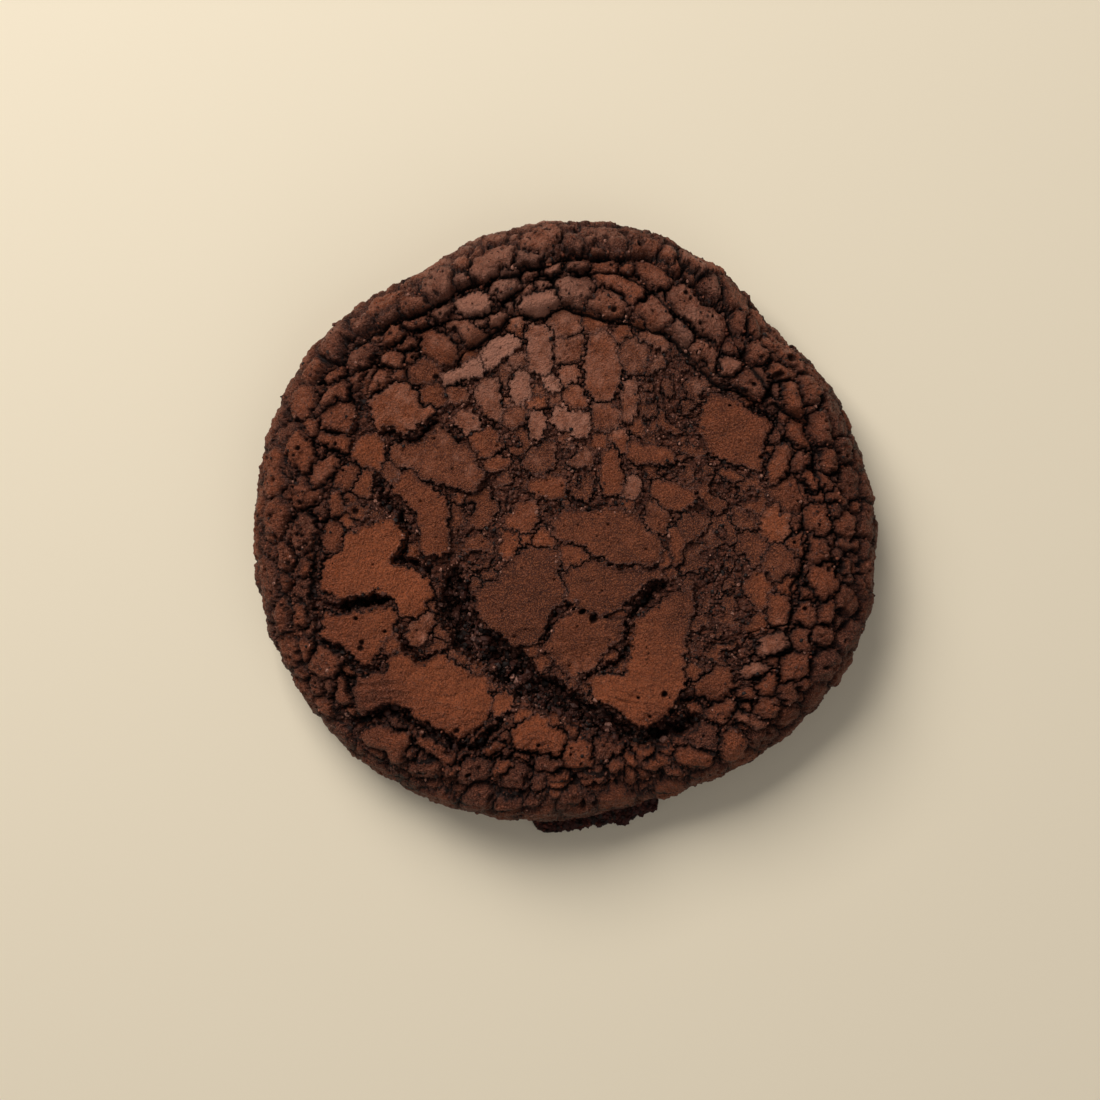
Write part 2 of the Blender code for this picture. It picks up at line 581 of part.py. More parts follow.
def cookie_mesh(crust):
    """The closed mesh: the crust and flank over the disc, and the flat base."""
    points = Points()
    add_crevices(points)
    add_folds(points)
    corners = add_cracks(points, crust)
    add_insides(points, crust, corners)
    flat = geometry.delaunay_2d_cdt([Vector(p) for p in points.spots.tolist()], points.lines, [], 0, 0.02)
    disc = np.array([tuple(p) for p in flat[0]])
    places, normals, down = body_surface(disc)
    places = places + normals * relief_at(disc, places, down, crust)[:, None]
    away = places[:, :2] / np.maximum(length_of(places), 1.0)[:, None]
    places[:, :2] += away * foot_reach(places, down)[:, None]
    places[:, 2] = np.where(length_of(disc) > DISC - 0.5, 0.0, np.maximum(places[:, 2], 0.15))
    low, high = places.min(0), places.max(0)
    places -= [(low[0] + high[0]) / 2, (low[1] + high[1]) / 2, 0.0]

    mesh = bmesh.new()
    vertices = [mesh.verts.new(place * MM) for place in places]
    for triangle in flat[2]:
        mesh.faces.new([vertices[corner] for corner in triangle])
    base = bmesh.ops.contextual_create(mesh, geom=[edge for edge in mesh.edges if edge.is_boundary])["faces"]
    bmesh.ops.triangulate(mesh, faces=base)
    bmesh.ops.recalc_face_normals(mesh, faces=mesh.faces)
    return mesh


def crust_material():
    material = bpy.data.materials.new("cocoa_crust")
    material.use_nodes = True
    shader = material.node_tree.nodes["Principled BSDF"]
    shader.inputs["Base Color"].default_value = (0.105, 0.035, 0.018, 1.0)
    shader.inputs["Roughness"].default_value = 0.55
    shader.inputs["Metallic"].default_value = 0.0
    material.diffuse_color = (0.105, 0.035, 0.018, 1.0)
    return material


def main():
    for old in list(bpy.data.objects):
        bpy.data.objects.remove(old)
    collection = bpy.data.collections.new("brownie_cookie")
    bpy.context.scene.collection.children.link(collection)
    data = bpy.data.meshes.new("cookie")
    mesh = cookie_mesh(Crust())
    mesh.to_mesh(data)
    mesh.free()
    data.materials.append(crust_material())
    collection.objects.link(bpy.data.objects.new("cookie", data))


main()
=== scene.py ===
import math

import bpy
import numpy as np
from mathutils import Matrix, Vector


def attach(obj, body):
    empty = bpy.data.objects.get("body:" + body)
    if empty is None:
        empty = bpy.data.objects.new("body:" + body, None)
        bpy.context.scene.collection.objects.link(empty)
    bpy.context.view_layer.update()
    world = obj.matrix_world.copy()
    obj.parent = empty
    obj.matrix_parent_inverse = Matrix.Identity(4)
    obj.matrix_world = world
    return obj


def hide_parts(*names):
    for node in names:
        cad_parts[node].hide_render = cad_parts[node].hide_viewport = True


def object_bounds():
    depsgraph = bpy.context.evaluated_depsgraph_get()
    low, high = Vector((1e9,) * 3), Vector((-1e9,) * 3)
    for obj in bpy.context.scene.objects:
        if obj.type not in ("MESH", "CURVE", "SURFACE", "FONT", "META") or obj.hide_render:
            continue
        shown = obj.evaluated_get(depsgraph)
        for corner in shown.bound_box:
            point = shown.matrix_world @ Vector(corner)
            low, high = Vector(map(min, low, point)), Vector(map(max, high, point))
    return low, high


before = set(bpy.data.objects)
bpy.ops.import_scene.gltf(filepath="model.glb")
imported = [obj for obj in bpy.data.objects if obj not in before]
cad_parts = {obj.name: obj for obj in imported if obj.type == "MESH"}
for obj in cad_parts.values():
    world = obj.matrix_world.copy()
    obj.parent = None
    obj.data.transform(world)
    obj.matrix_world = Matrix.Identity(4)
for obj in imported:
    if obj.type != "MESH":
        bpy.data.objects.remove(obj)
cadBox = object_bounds()
bpy.ops.object.select_all(action="DESELECT")

# Sizes are in millimetres on the cookie, seen from above with x to the right and y to the back.
mm = 0.001
farAway = 9.0  # further off than any gap or piece that matters
boxLow, boxHigh = (np.array(corner) / mm for corner in cadBox)

# The plain body under the crust, with the sizes that the part has.
body = {
    "outline": (  # radius every 15 degrees, counter-clockwise from x
        52.4, 51.3, 50.6, 48.7, 50.7, 51.3, 51.5, 50.9, 49.5, 50.9, 52.3, 52.2,
        52.4, 52.8, 52.9, 52.7, 52.0, 50.6, 49.6, 48.3, 49.5, 51.5, 52.9, 53.0,
    ),
    "rimHeight": 15.8,
    "centreHeight": 13.4,
    "shoulder": 8.5,
    "bellyHeight": 6.5,
    "undercut": 3.6,
    "frontAngle": 268,
    "frontSpread": 34,
    "frontShoulder": 11.0,
    "frontBellyHeight": 2.6,
    "frontUndercut": 0.8,
    "swell": 0.7,  # slow rise and fall of the whole top
    "swellLength": 21.0,
    "disc": 65.0,  # the surface is drawn on a flat disc of this radius and wrapped over the body
    "topShare": 0.66,  # of the disc, up to where the top turns down
    "bellyShare": 0.63,  # of the rest, down to where the flank is widest
    "foot": ((272.3, 8.4, 2.6, 3.6), (284.2, 4.9, 3.1, 4.2)),  # direction, half spread, reach, top
}

# Plates of smooth crust. The biggest have an outline, the others are strokes of a round brush (x, y, x, y,
# radius). Tone goes from dark brown to orange brown, and pale is a pinkish paleness, partly the crust's own
# and partly a painted sheen.
plates = {
    "anvil": {
        "outline": ((-40.2, -9.5), (-39.5, -6.5), (-37.5, -4), (-36.5, -1.5), (-33.5, -1), (-30, 0.8),
                    (-27.8, 1.2), (-26.4, -0.6), (-26.7, -3.8), (-28.3, -5.2), (-27.8, -7), (-25, -7.3),
                    (-23.2, -8.8), (-22.3, -11.5), (-23.2, -13.5), (-25.5, -15), (-27, -14.8),
                    (-27.3, -12.5), (-29, -11.3), (-32, -11), (-35, -11.7), (-38, -11.3), (-40, -10.8)),
        "tone": 0.95, "lift": 0.5,
    },
    "underTheSlit": {
        "outline": ((-40, -16), (-39.8, -14.3), (-36.5, -14.2), (-28.5, -13.8), (-27.5, -14.5),
                    (-28, -16.5), (-29, -18.5), (-31, -20.5), (-31.5, -21.5), (-33, -23), (-35, -22.8),
                    (-36, -21.5), (-35.8, -20), (-38.5, -19.5), (-40.3, -18)),
        "tone": 0.8, "lift": 0.4,
    },
    "leftBoat": {
        "outline": ((-34.5, -26), (-34.3, -24.5), (-30, -24.5), (-28.8, -22.5), (-27, -21.3), (-25, -21.8),
                    (-23, -22.2), (-20.5, -21.8), (-18.5, -23), (-15.5, -24.5), (-13, -25.2), (-12, -27.5),
                    (-12.2, -30), (-13, -32.5), (-15, -34), (-17.5, -35.8), (-19.5, -35.3), (-21, -33.7),
                    (-23, -32.3), (-26, -31), (-27.5, -29.8), (-29.5, -29.5), (-32, -30.8), (-33.5, -31.5),
                    (-34.7, -29.5)),
        "tone": 0.8, "lift": 0.5, "wrinkles": 0.6,
    },
    "boot": {
        "outline": ((21.5, -10.8), (18, -11.5), (15, -13.5), (12.5, -15.5), (11, -17.5), (10.8, -20),
                    (10.5, -23), (9.8, -24.5), (6, -25), (3.7, -25.3), (4.5, -27.5), (7, -29.5),
                    (9.5, -31), (12, -33), (15, -33.5), (17, -32.5), (17.8, -30), (19.5, -27.5),
                    (20.5, -25), (20, -22), (20.5, -18.5), (21, -15), (22, -13)),
        "tone": 0.72, "lift": 0.5,
    },
    "heart": {
        "outline": ((-14.5, -11), (-14.5, -15), (-12.5, -16.5), (-11, -19), (-8, -19.8), (-4.5, -19.5),
                    (-3, -17.5), (-2, -14.5), (0, -13), (0.5, -10.5), (-1, -8), (-1, -5), (-3, -3.5),
                    (-5, -3), (-8, -5), (-10.5, -7.5), (-11.5, -9.5), (-13, -9.5)),
        "tone": 0.22, "lift": 0.25,
    },
    "belowMiddle": {
        "outline": ((1, -6.8), (4, -6), (7, -6.5), (10.5, -7.5), (14, -8), (16.5, -7.5), (16.5, -9),
                    (13, -9.5), (11, -12), (9, -13.7), (6, -14.8), (4, -14.3), (2, -13), (0.5, -12),
                    (0.2, -9)),
        "tone": 0.35, "lift": 0.25,
    },
    "paw": {
        "outline": ((0, -15), (2, -13.8), (4, -15), (7, -15.5), (10, -15.3), (9.5, -17), (9.3, -19),
                    (7, -20.5), (6, -22), (4.5, -23.5), (2.8, -23.8), (2.5, -25), (0.5, -24.5),
                    (-2, -22.5), (-3.5, -20.5), (-2, -18), (-0.8, -16)),
        "tone": 0.35, "lift": 0.3,
    },
    "rightMitten": {
        "outline": ((22.5, 19), (23.5, 21), (25.3, 22), (28, 21), (30.5, 19.2), (33.5, 18), (34.5, 16.8),
                    (33.5, 15.5), (32.5, 12.5), (33, 10), (32, 9), (29.5, 10.2), (26, 10.5), (24.3, 12),
                    (23.5, 14.5), (22, 16)),
        "tone": 0.5, "lift": 0.45,
    },
    "upperLeft": {
        "outline": ((-32.5, 20.5), (-30, 23), (-26.5, 23.8), (-24.5, 22), (-23.5, 20), (-21.3, 19.7),
                    (-21.8, 18.2), (-24.5, 17), (-26, 15.6), (-28.5, 16), (-31, 15.2), (-31.5, 17.5)),
        "tone": 0.8, "lift": 0.5, "pale": 0.3,
    },
    "leftOfMiddle": {
        "outline": ((-29, 11.5), (-28, 14), (-24.5, 14), (-22.5, 16), (-19.5, 16.5), (-18, 14),
                    (-15.5, 14), (-14.5, 11), (-12.8, 9), (-15, 6), (-19, 6.5), (-23.5, 8), (-25, 9.8),
                    (-27.5, 9.5)),
        "tone": 0.42, "lift": 0.4, "pale": 0.15,
    },
    "middle": {"strokes": ((1, 0, 10.5, 0, 2.8), (6, -3, 13.5, -3.8, 2.6)), "tone": 0.42},
    "leftRagged": {"strokes": ((-26, 6.5, -22, 3, 2.3), (-22, 2, -21.5, -2.5, 2.3)), "tone": 0.6},
    "squareTop": {"strokes": ((-43.8, 13, -43.3, 11.5, 2.6),), "tone": 0.8},
    "leftTile": {"strokes": ((-38.8, 14.5, -36.8, 13.8, 1.5),), "tone": 0.75},
    "leftTooth": {"strokes": ((-40.8, 8.2, -38.6, 10.5, 1.5),), "tone": 0.85, "pale": 0.3},
    "leftChip": {"strokes": ((-37.8, 4.2, -37.6, 3, 1.2),), "tone": 0.7},
    "leftBean": {"strokes": ((-32.8, 7.8, -33.2, 6.3, 1.3),), "tone": 0.65},
    "leftBead": {"strokes": ((-34.6, 2.4, -33.8, 2.4, 1.2),), "tone": 0.6},
    "leftKnuckle": {"strokes": ((-38.6, 21.8, -37.2, 22.2, 1.9),), "tone": 0.7, "pale": 0.1},
    "leftButton": {"strokes": ((-29, 27.5, -28, 27.7, 1.9),), "tone": 0.75, "pale": 0.15},
    "shield": {"strokes": ((-22.5, 30.5, -20, 29, 2.3),), "tone": 0.7},
    "rightOfShield": {"strokes": ((-17.5, 33.5, -14.5, 31, 1.5),), "tone": 0.6},
    "smallRound": {"strokes": ((-11.5, 34, -10.5, 34.2, 1.2),), "tone": 0.6},
    "rollLeft": {"strokes": ((-16.5, 36, -13.8, 36.8, 1.8),), "tone": 0.85, "pale": 0.6},
    "rollRight": {"strokes": ((-5.6, 36.2, -2.6, 37.1, 1.9),), "tone": 0.75, "pale": 0.45},
    "paleRidge": {"strokes": ((-19, 24.4, -14.2, 26.8, 1.3),), "tone": 0.8, "pale": 0.75},
    "paleRidgeEnd": {"strokes": ((-12.3, 28.2, -9.3, 30.4, 1.8),), "tone": 0.75, "pale": 0.7},
    "backLeftTall": {"strokes": ((-4.3, 31.3, -4, 27.5, 2.1),), "tone": 0.65, "pale": 0.22},
    "backLeftBlock": {"strokes": ((-12.5, 23, -11.7, 19.5, 2.0),), "tone": 0.6, "pale": 0.3},
    "backLeftRound": {"strokes": ((-7.2, 24, -7.2, 22, 1.7),), "tone": 0.55, "pale": 0.3},
    "kiteLeft": {"strokes": ((-18.3, 21.8, -16.8, 21.8, 1.2),), "tone": 0.6, "pale": 0.2},
    "kite": {"strokes": ((-16.8, 18, -15.8, 17, 1.6),), "tone": 0.65, "pale": 0.35},
    "drop": {"strokes": ((-4.7, 17.5, -4.2, 15.8, 1.5),), "tone": 0.5, "pale": 0.3},
    "dropTop": {"strokes": ((-2.6, 24.2, -1.4, 23.2, 1.2),), "tone": 0.6, "pale": 0.5},
    "backPale": {"strokes": ((0, 18, 2.5, 17.2, 2.0),), "tone": 0.6, "pale": 0.4},
    "backTall": {"strokes": ((6.3, 29.5, 6.5, 23.5, 2.7),), "tone": 0.62, "pale": 0.15},
    "backSlim": {"strokes": ((11.3, 23, 10.5, 18.5, 1.4),), "tone": 0.5, "pale": 0.25},
    "backChip": {"strokes": ((13.5, 31.3, 16.3, 30.3, 1.2),), "tone": 0.5, "pale": 0.2},
    "rightBean": {"strokes": ((36.6, 12.8, 35, 8.5, 1.5),), "tone": 0.7, "pale": 0.2},
    "rightNail": {"strokes": ((40.3, 8.6, 41.3, 6.8, 0.9),), "tone": 0.7},
    "rightEdgeA": {"strokes": ((44, 11.8, 44, 10.5, 1.6),), "tone": 0.6},
    "rightEdgeB": {"strokes": ((44.6, 5.2, 45.4, 4.8, 1.4),), "tone": 0.65},
    "rimBean": {"strokes": ((37.3, 22.8, 38, 19.5, 1.6),), "tone": 0.85},
    "foldPebble": {"strokes": ((27.5, 26.7, 27.8, 26.2, 1.8),), "tone": 0.65, "pale": 0.3},
    "foldPebbleB": {"strokes": ((31.2, 33, 31.4, 32, 1.5),), "tone": 0.5},
    "topPebble": {"strokes": ((19.8, 43.8, 22, 42.2, 1.4),), "tone": 0.85, "pale": 0.3},
    "rightOfMiddle": {"strokes": ((12, 12.2, 16.3, 11.8, 2.1),), "tone": 0.55},
    "middleTall": {"strokes": ((7.9, 11, 8, 6.5, 1.7),), "tone": 0.55},
    "middleChip": {"strokes": ((11.5, 7.2, 11.6, 6, 1.5),), "tone": 0.5, "pale": 0.4},
    "rightTongue": {"strokes": ((17, 5.5, 19.5, 5, 2.3),), "tone": 0.5},
    "rightChip": {"strokes": ((27.3, 8.2, 28.7, 8, 1.1),), "tone": 0.5},
    "orangePatch": {"strokes": ((-4, 6.5, -1, 6.3, 1.9),), "tone": 0.6},
    "leftSliver": {"strokes": ((-37, -26.3, -36.3, -28.8, 1.3),), "tone": 0.6},
    "smallLeaf": {"strokes": ((-24.5, -18, -22.8, -15.5, 1.5),), "tone": 0.6, "pale": 0.3},
    "frontLeft": {"strokes": ((-31.5, -35.5, -28, -35.5, 2.2), (-29, -37, -28.5, -38, 1.6)), "tone": 0.78},
    "frontStrip": {"strokes": ((-23.5, -35.6, -19, -38.7, 0.9),), "tone": 0.7},
    "frontMiddle": {"strokes": ((-6.5, -34.5, -1.5, -36, 2.4), (-4.5, -32.6, -4, -33, 1.2)), "tone": 0.9,
                    "wrinkles": 1.0},
    "frontWedge": {"strokes": ((-13.2, -37.2, -10.3, -36.3, 0.9),), "tone": 0.75},
    "leftPost": {"strokes": ((-44, -13.8, -43.8, -16, 1.0),), "tone": 0.7},
    "leftPostB": {"strokes": ((-43, -6.3, -42.5, -7.8, 0.8),), "tone": 0.7},
    "hairChip": {"strokes": ((18.3, -0.5, 18.9, -5, 1.0),), "tone": 0.55},
    "rightShield": {"strokes": ((42.5, -8, 43, -9.8, 2.2),), "tone": 0.7},
    "rightTile": {"strokes": ((40, -14.5, 40.3, -14.8, 1.8),), "tone": 0.65},
    "rightTileB": {"strokes": ((43.8, -14.2, 44, -14.8, 1.5),), "tone": 0.6},
    "rightPost": {"strokes": ((35.6, -12.8, 35.3, -15.3, 1.6),), "tone": 0.6},
    "rightPale": {"strokes": ((33.8, -20, 35.8, -19.3, 1.5),), "tone": 0.65, "pale": 0.3},
    "rightTileC": {"strokes": ((39.2, -18.6, 40, -18.8, 1.6),), "tone": 0.55},
    "palePebble": {"strokes": ((30.8, -24, 32, -23.7, 1.3),), "tone": 0.65, "pale": 0.4},
    "frontShell": {"strokes": ((29.5, -31.5, 33, -33, 1.4),), "tone": 0.65, "pale": 0.3},
    "frontRound": {"strokes": ((28.5, -36, 28.6, -38, 2.1),), "tone": 0.9},
    "frontPost": {"strokes": ((37, -26.8, 37.8, -29, 1.5),), "tone": 0.6},
    "frontChip": {"strokes": ((29.5, -27.7, 31, -27.9, 1.1),), "tone": 0.6},
    "frontPebbleA": {"strokes": ((15, -41, 16.8, -39.8, 1.2),), "tone": 0.8},
    "frontPebbleB": {"strokes": ((11.2, -39.2, 11.3, -39.3, 1.4),), "tone": 0.9},
    "frontPebbleC": {"strokes": ((11.3, -42.3, 11.5, -42.3, 1.2),), "tone": 0.8},
    "frontPebbleD": {"strokes": ((8.5, -41, 8.6, -40.6, 1.2),), "tone": 0.8, "pale": 0.2},
    "frontTile": {"strokes": ((20.5, -38.7, 23.2, -38.9, 1.9),), "tone": 0.8},
    "edgeA": {"strokes": ((46.3, -2.8, 48.3, -2.9, 1.2),), "tone": 0.65},
    "edgeB": {"strokes": ((46.8, -6.2, 47, -8.6, 0.9),), "tone": 0.6},
    "edgeC": {"strokes": ((49.6, -8.5, 49.7, -11, 0.8),), "tone": 0.6},
}

# Open crevices: the path, the half width along it, and the depth.
crevices = {
    "trench": (((-19, -5.5), (-17.8, -10), (-18, -14), (-15.5, -18.5), (-10.5, -22), (-7, -26),
                (-2, -28.5), (4, -31.5), (9, -34), (14.5, -35), (19.5, -33.2), (23.5, -31.5)),
               (1.4, 2.5, 2.7, 3.0, 2.9, 2.9, 3.1, 2.5, 2.0, 1.8, 2.0, 1.2), 4.4),
    "slit": (((-40.5, -12.6), (-36, -13.1), (-31.5, -12.2), (-28, -12.8)), (0.7, 1.0, 1.0, 0.7), 4.5),
    "leftLong": (((-31.3, 9), (-30.2, 6), (-29.8, 3.5), (-27, 2), (-25.9, -1), (-26.6, -3.5),
                  (-27.8, -5.3), (-25.3, -6), (-22.8, -7.3), (-21.6, -10)),
                 (0.6, 0.8, 1.0, 0.8, 0.6, 0.6, 0.9, 0.8, 0.7, 0.5), 3.2),
    "upperLeft": (((-31.5, 15), (-28.5, 15.4), (-26, 14.6), (-24.3, 14.9), (-22.5, 16.6), (-20, 18.2)),
                  (0.6, 0.8, 0.6, 0.6, 0.8, 0.5), 3.0),
    "hook": (((-27.6, -16.5), (-26.3, -20), (-24, -21.6), (-20, -21.2)), (0.5, 0.7, 0.7, 0.5), 2.6),
    "frontLeft": (((-39.5, -31), (-36.3, -33.2), (-33.5, -32.6), (-29.5, -30.6), (-27.6, -30.3),
                   (-24.5, -33), (-21, -34.6), (-18, -37), (-15, -36.6), (-11.5, -33.6), (-8, -30.3)),
                  (0.6, 0.9, 0.9, 0.9, 0.7, 0.8, 0.8, 0.9, 0.9, 0.9, 1.1), 3.4),
    "bootLeft": (((19.5, -8.8), (15, -10.8), (12.8, -13.2), (10.6, -16.3), (10.4, -20), (8.8, -22.8),
                  (5, -24.3), (3, -25.5)), (0.6, 1.3, 1.2, 0.6, 0.5, 0.5, 0.6, 0.6), 2.8),
    "bootToe": (((18.3, -30.0), (19.8, -28.8), (22.5, -28.6)), (0.8, 1.1, 0.6), 2.6),
    "heartRight": (((2.5, -12.6), (-1, -13.6), (-2.2, -17), (-4.5, -19.3)), (0.4, 0.5, 0.5, 0.4), 1.8),
    "leftEdge": (((-40.8, 1), (-40.9, -5), (-41.3, -11), (-40.7, -17), (-41.5, -20.5)), (0.6,) * 5, 1.8),
    "leftSeam": (((-33.2, 23), (-33.8, 19), (-35, 14.5), (-36.3, 11.3)), (0.5,) * 4, 1.8),
    "corner": (((-38, -19.8), (-36.3, -21.3), (-34.8, -23.2), (-31.5, -23.6), (-30, -23)), (0.6,) * 5, 2.4),
    "frontCrease": (((-39.5, -28.5), (-37, -31.5), (-35, -35.5), (-33, -38.3), (-29, -41.3), (-26, -43.8)),
                    (0.6,) * 6, 2.0),
}

# Folds of the crust: the line where the surface steps up, going outwards, and by how much.
folds = {
    "outer": (((-43, 22.5), (-40, 25.3), (-36.5, 28.6), (-33, 31.6), (-28, 34), (-23, 35.6), (-18.5, 38.8),
               (-12, 40.4), (-4, 43), (-0.5, 45), (6, 44.3), (14, 44.8), (17.5, 42), (22.5, 39.5),
               (27.5, 34), (29, 30), (32.5, 24.5), (36, 19), (40.3, 17), (41.7, 12), (41.5, 4)), 1.9),
    "middle": (((-33.5, 20), (-32, 25), (-29.5, 29.8), (-25, 32.8), (-20, 34), (-15, 34.9), (-11, 36),
                (-8.7, 38.6), (-5, 40.7), (2, 41.7), (9, 42.2), (14, 39.6), (17.5, 35.8), (22, 32),
                (26, 29.3)), 1.1),
    "inner": (((-20, 25.5), (-16.5, 29.3), (-12.5, 31.5), (-8.5, 35), (-4.5, 34.6), (0, 36.3), (5, 35.2),
               (12, 33), (16.5, 32), (21, 27.6), (26, 23.7), (31.5, 21), (35, 17), (38.5, 12)), 1.5),
    "right": (((49.5, 1), (49.2, -5), (48.3, -10), (50, -14), (46, -18), (42, -22), (40.3, -29)), 0.9),
    "rightInner": (((38.5, 9), (40, 3), (40.2, -5), (38, -11), (37.8, -16.3), (31, -18), (27, -24)), 0.9),
    "front": (((-16, -38.6), (-8, -38.3), (-4.5, -40.9), (3, -41.8)), 1.1),
    "frontLow": (((-27, -42), (-15, -43.6), (-5, -44.2), (5, -43.8), (14, -43.4), (24, -40.5)), 1.2),
    "leftLow": (((-46.5, 14), (-45.5, 5), (-45, -5), (-46, -12), (-45, -20), (-42, -27)), 0.8),
}
foldShape = {
    "roll": 2.4,  # width of the rounded front
    "run": 4.5,  # how slowly it sinks outwards
    "dip": 0.6,  # hollow in front of it, as a share of its height
    "dipRun": 1.6,
    "gap": 0.3,  # half width of the dark gap under it
    "gapInside": 0.3,  # how far inside the line that gap runs
    "ends": 1.2,  # legs of the line over which it fades
}

# Darker and lighter places on the plates: middle, reach, and how much.
shades = (
    (20, -14, 7.5, -0.5), (-31, -28, 5, -0.4), (9, -30.5, 4, 0.2), (-15, 37.2, 2.5, 0.3),
    (-4, 37.8, 2.5, 0.2),
)

# Places where the crust is wrinkled: middle, reach, and how much.
wrinkledPlaces = ((11, -29.5, 4.5, 1.2), (-17, -28, 5, 0.7), (-2, -35.5, 4, 0.8))

# A painted sheen, pale and pinkish, over more than one piece: middle, reach, and how much.
sheenSpots = ((-9, 38.5, 13, 0.35), (18, 29, 9, 0.22), (-3, 22, 15, 0.22), (37, -19, 7, 0.2), (3, -27, 6, 0.15))

# Where the crust has crumbled instead of cracking: middle, half widths, and how much.
crumbled = {
    "middle": (2.0, 6.0, 19.0, 7.5, 0.75),
    "aboveMiddle": (-1.0, 13.5, 13.0, 4.0, 0.7),
    "besideBoot": (26.0, -13.0, 7.5, 15.0, 0.9),
    "aroundMitten": (23.0, 10.0, 14.0, 12.0, 0.8),
    "backRight": (20.0, 22.0, 11.0, 8.0, 0.8),
    "besideHeart": (-14.5, -2.0, 6.0, 8.0, 0.7),
    "trenchBanks": (-3.0, -24.5, 13.0, 5.0, 0.6),
}

# Where the crust is porous and lumpy instead of cracked into pebbles.
porous = {
    "leftEdge": (-47.0, -3.0, 5.5, 25.0, 0.9),
    "backLeftRoll": (-27.0, 38.5, 13.0, 7.0, 0.8),
    "backRoll": (0.0, 47.5, 18.0, 4.5, 0.8),
    "backRightEdge": (38.0, 33.0, 7.0, 9.0, 0.6),
}

crust = {
    "cuts": 310,  # on each side of each quarter
    "spread": (0.86, 4),  # finer in the middle: share of the even spacing there, and how late it grows
    "wallFoot": 0.15,  # how far off the middle the walls along the seams stand
    "seed": 11,
    "warp": ((4.2, 0.9), (1.6, 0.45)),  # size and reach of the wander of the cracks
    "grain": {"size": 0.56, "jitter": 0.9, "seed": 4},  # cracks and torn edges run between these
    "bit": {"size": 1.0, "jitter": 0.9, "seed": 5},  # fine relief of the loose crust
    "lump": {"size": 1.9, "jitter": 0.9, "seed": 6},  # and its coarse relief
    "pit": {"size": 1.5, "jitter": 1.0, "seed": 8},
    "snap": 0.42,  # share of the spacing within which points move onto a crack
    "pebbleTries": 9000,  # for each of the sizes, which are shares of the width
    "pebbleSizes": (1.3, 1.0, 0.78, 0.58, 0.4),
    "pebbleWidth": {"centre": 3.4, "rim": 3.5, "flank": 3.8},
    "follow": 5.0,  # a pebble this near a fold or crevice lies along it
    "besideFolds": (4.0, 12.0, 1.9),  # pebbles this near and this far back are longer by this much
    "rimZone": (33.0, 41.0),  # on the disc, where the middle turns into the rim
    "flankZone": 54.0,  # and where the rim ends
    "loose": (0.75, 0.0, 0.9),  # how far round a piece the crust holds: sound, crumbled, and at the rim
    # two values: in the middle, and round the rim
    "crackHalf": (0.15, 0.3),
    "crackDepth": (0.7, 1.6),
    "shoulder": (0.22, 0.5),  # how far a piece drops beside its cracks
    "dome": (0.2, 0.8),  # and how round its back is
    "offset": 0.28,  # how unevenly the pieces lie
    "tilt": 0.09,
    # two values: where the crust is sound, and where it is loose
    "lumpRise": (0.2, 0.34),
    "lumpGap": (0.32, 0.5),
    "bitRise": 0.12,
    "bitGap": 0.2,
    "waves": {"big": 0.3, "mid": (0.22, 0.3), "small": (0.08, 0.2), "fine": (0.03, 0.1)},
    "creviceEdge": 0.5,  # width over which a crevice drops
    "sag": (1.6, 6.0),  # depth and reach of the sag round the trench
    "frontWrinkles": 0.75,
    "plateWrinkles": 0.5,
    "pores": 420,
    "lowest": 0.1,  # the crust keeps this far above the base
}

holes = (  # round pinholes: x, y, radius
    (10, 48.8, 0.8), (17, 46.8, 0.9), (12.5, 46.2, 0.6), (28.5, 40, 0.8), (37.5, 27.8, 0.9),
    (35.3, 24.8, 0.7), (42.5, 21, 0.8), (43.5, 24.5, 0.6), (46.5, 19, 0.8), (-46.5, 19.2, 0.8),
    (-35.5, 35.3, 0.7), (4.9, -15.4, 0.8), (16.7, -27.7, 0.5), (3, -14.2, 0.5),
    (3, -45.6, 0.6), (12.9, -45.8, 0.8), (1.8, -42.6, 0.7), (5, -43.2, 0.6), (-7, -44, 0.6),
)


def smooth(low, high, value):
    share = np.clip((value - low) / (high - low), 0.0, 1.0)
    return share * share * (3.0 - 2.0 * share)


def mix(first, second, share):
    return first + (second - first) * share


def wrapped(angle):
    return (angle + math.pi) % (2.0 * math.pi) - math.pi


def lengthOf(points):
    return np.hypot(points[..., 0], points[..., 1])


def noiseAt(points, size, seed):
    # smooth random values, about -0.7 to 0.7, that wander over that many millimetres
    across = 512  # the pattern repeats after as many steps
    spots = points / size
    corner = np.floor(spots).astype(int)
    inside = spots - corner
    ease = inside**3 * (inside * (inside * 6.0 - 15.0) + 10.0)
    slopes = np.random.default_rng(seed).uniform(0.0, 2 * math.pi, (across, across))
    total = np.zeros(len(points))
    for i in (0, 1):
        for j in (0, 1):
            angle = slopes[(corner[:, 0] + i) % across, (corner[:, 1] + j) % across]
            value = np.cos(angle) * (inside[:, 0] - i) + np.sin(angle) * (inside[:, 1] - j)
            total += value * (ease[:, 0] if i else 1 - ease[:, 0]) * (ease[:, 1] if j else 1 - ease[:, 1])
    return total


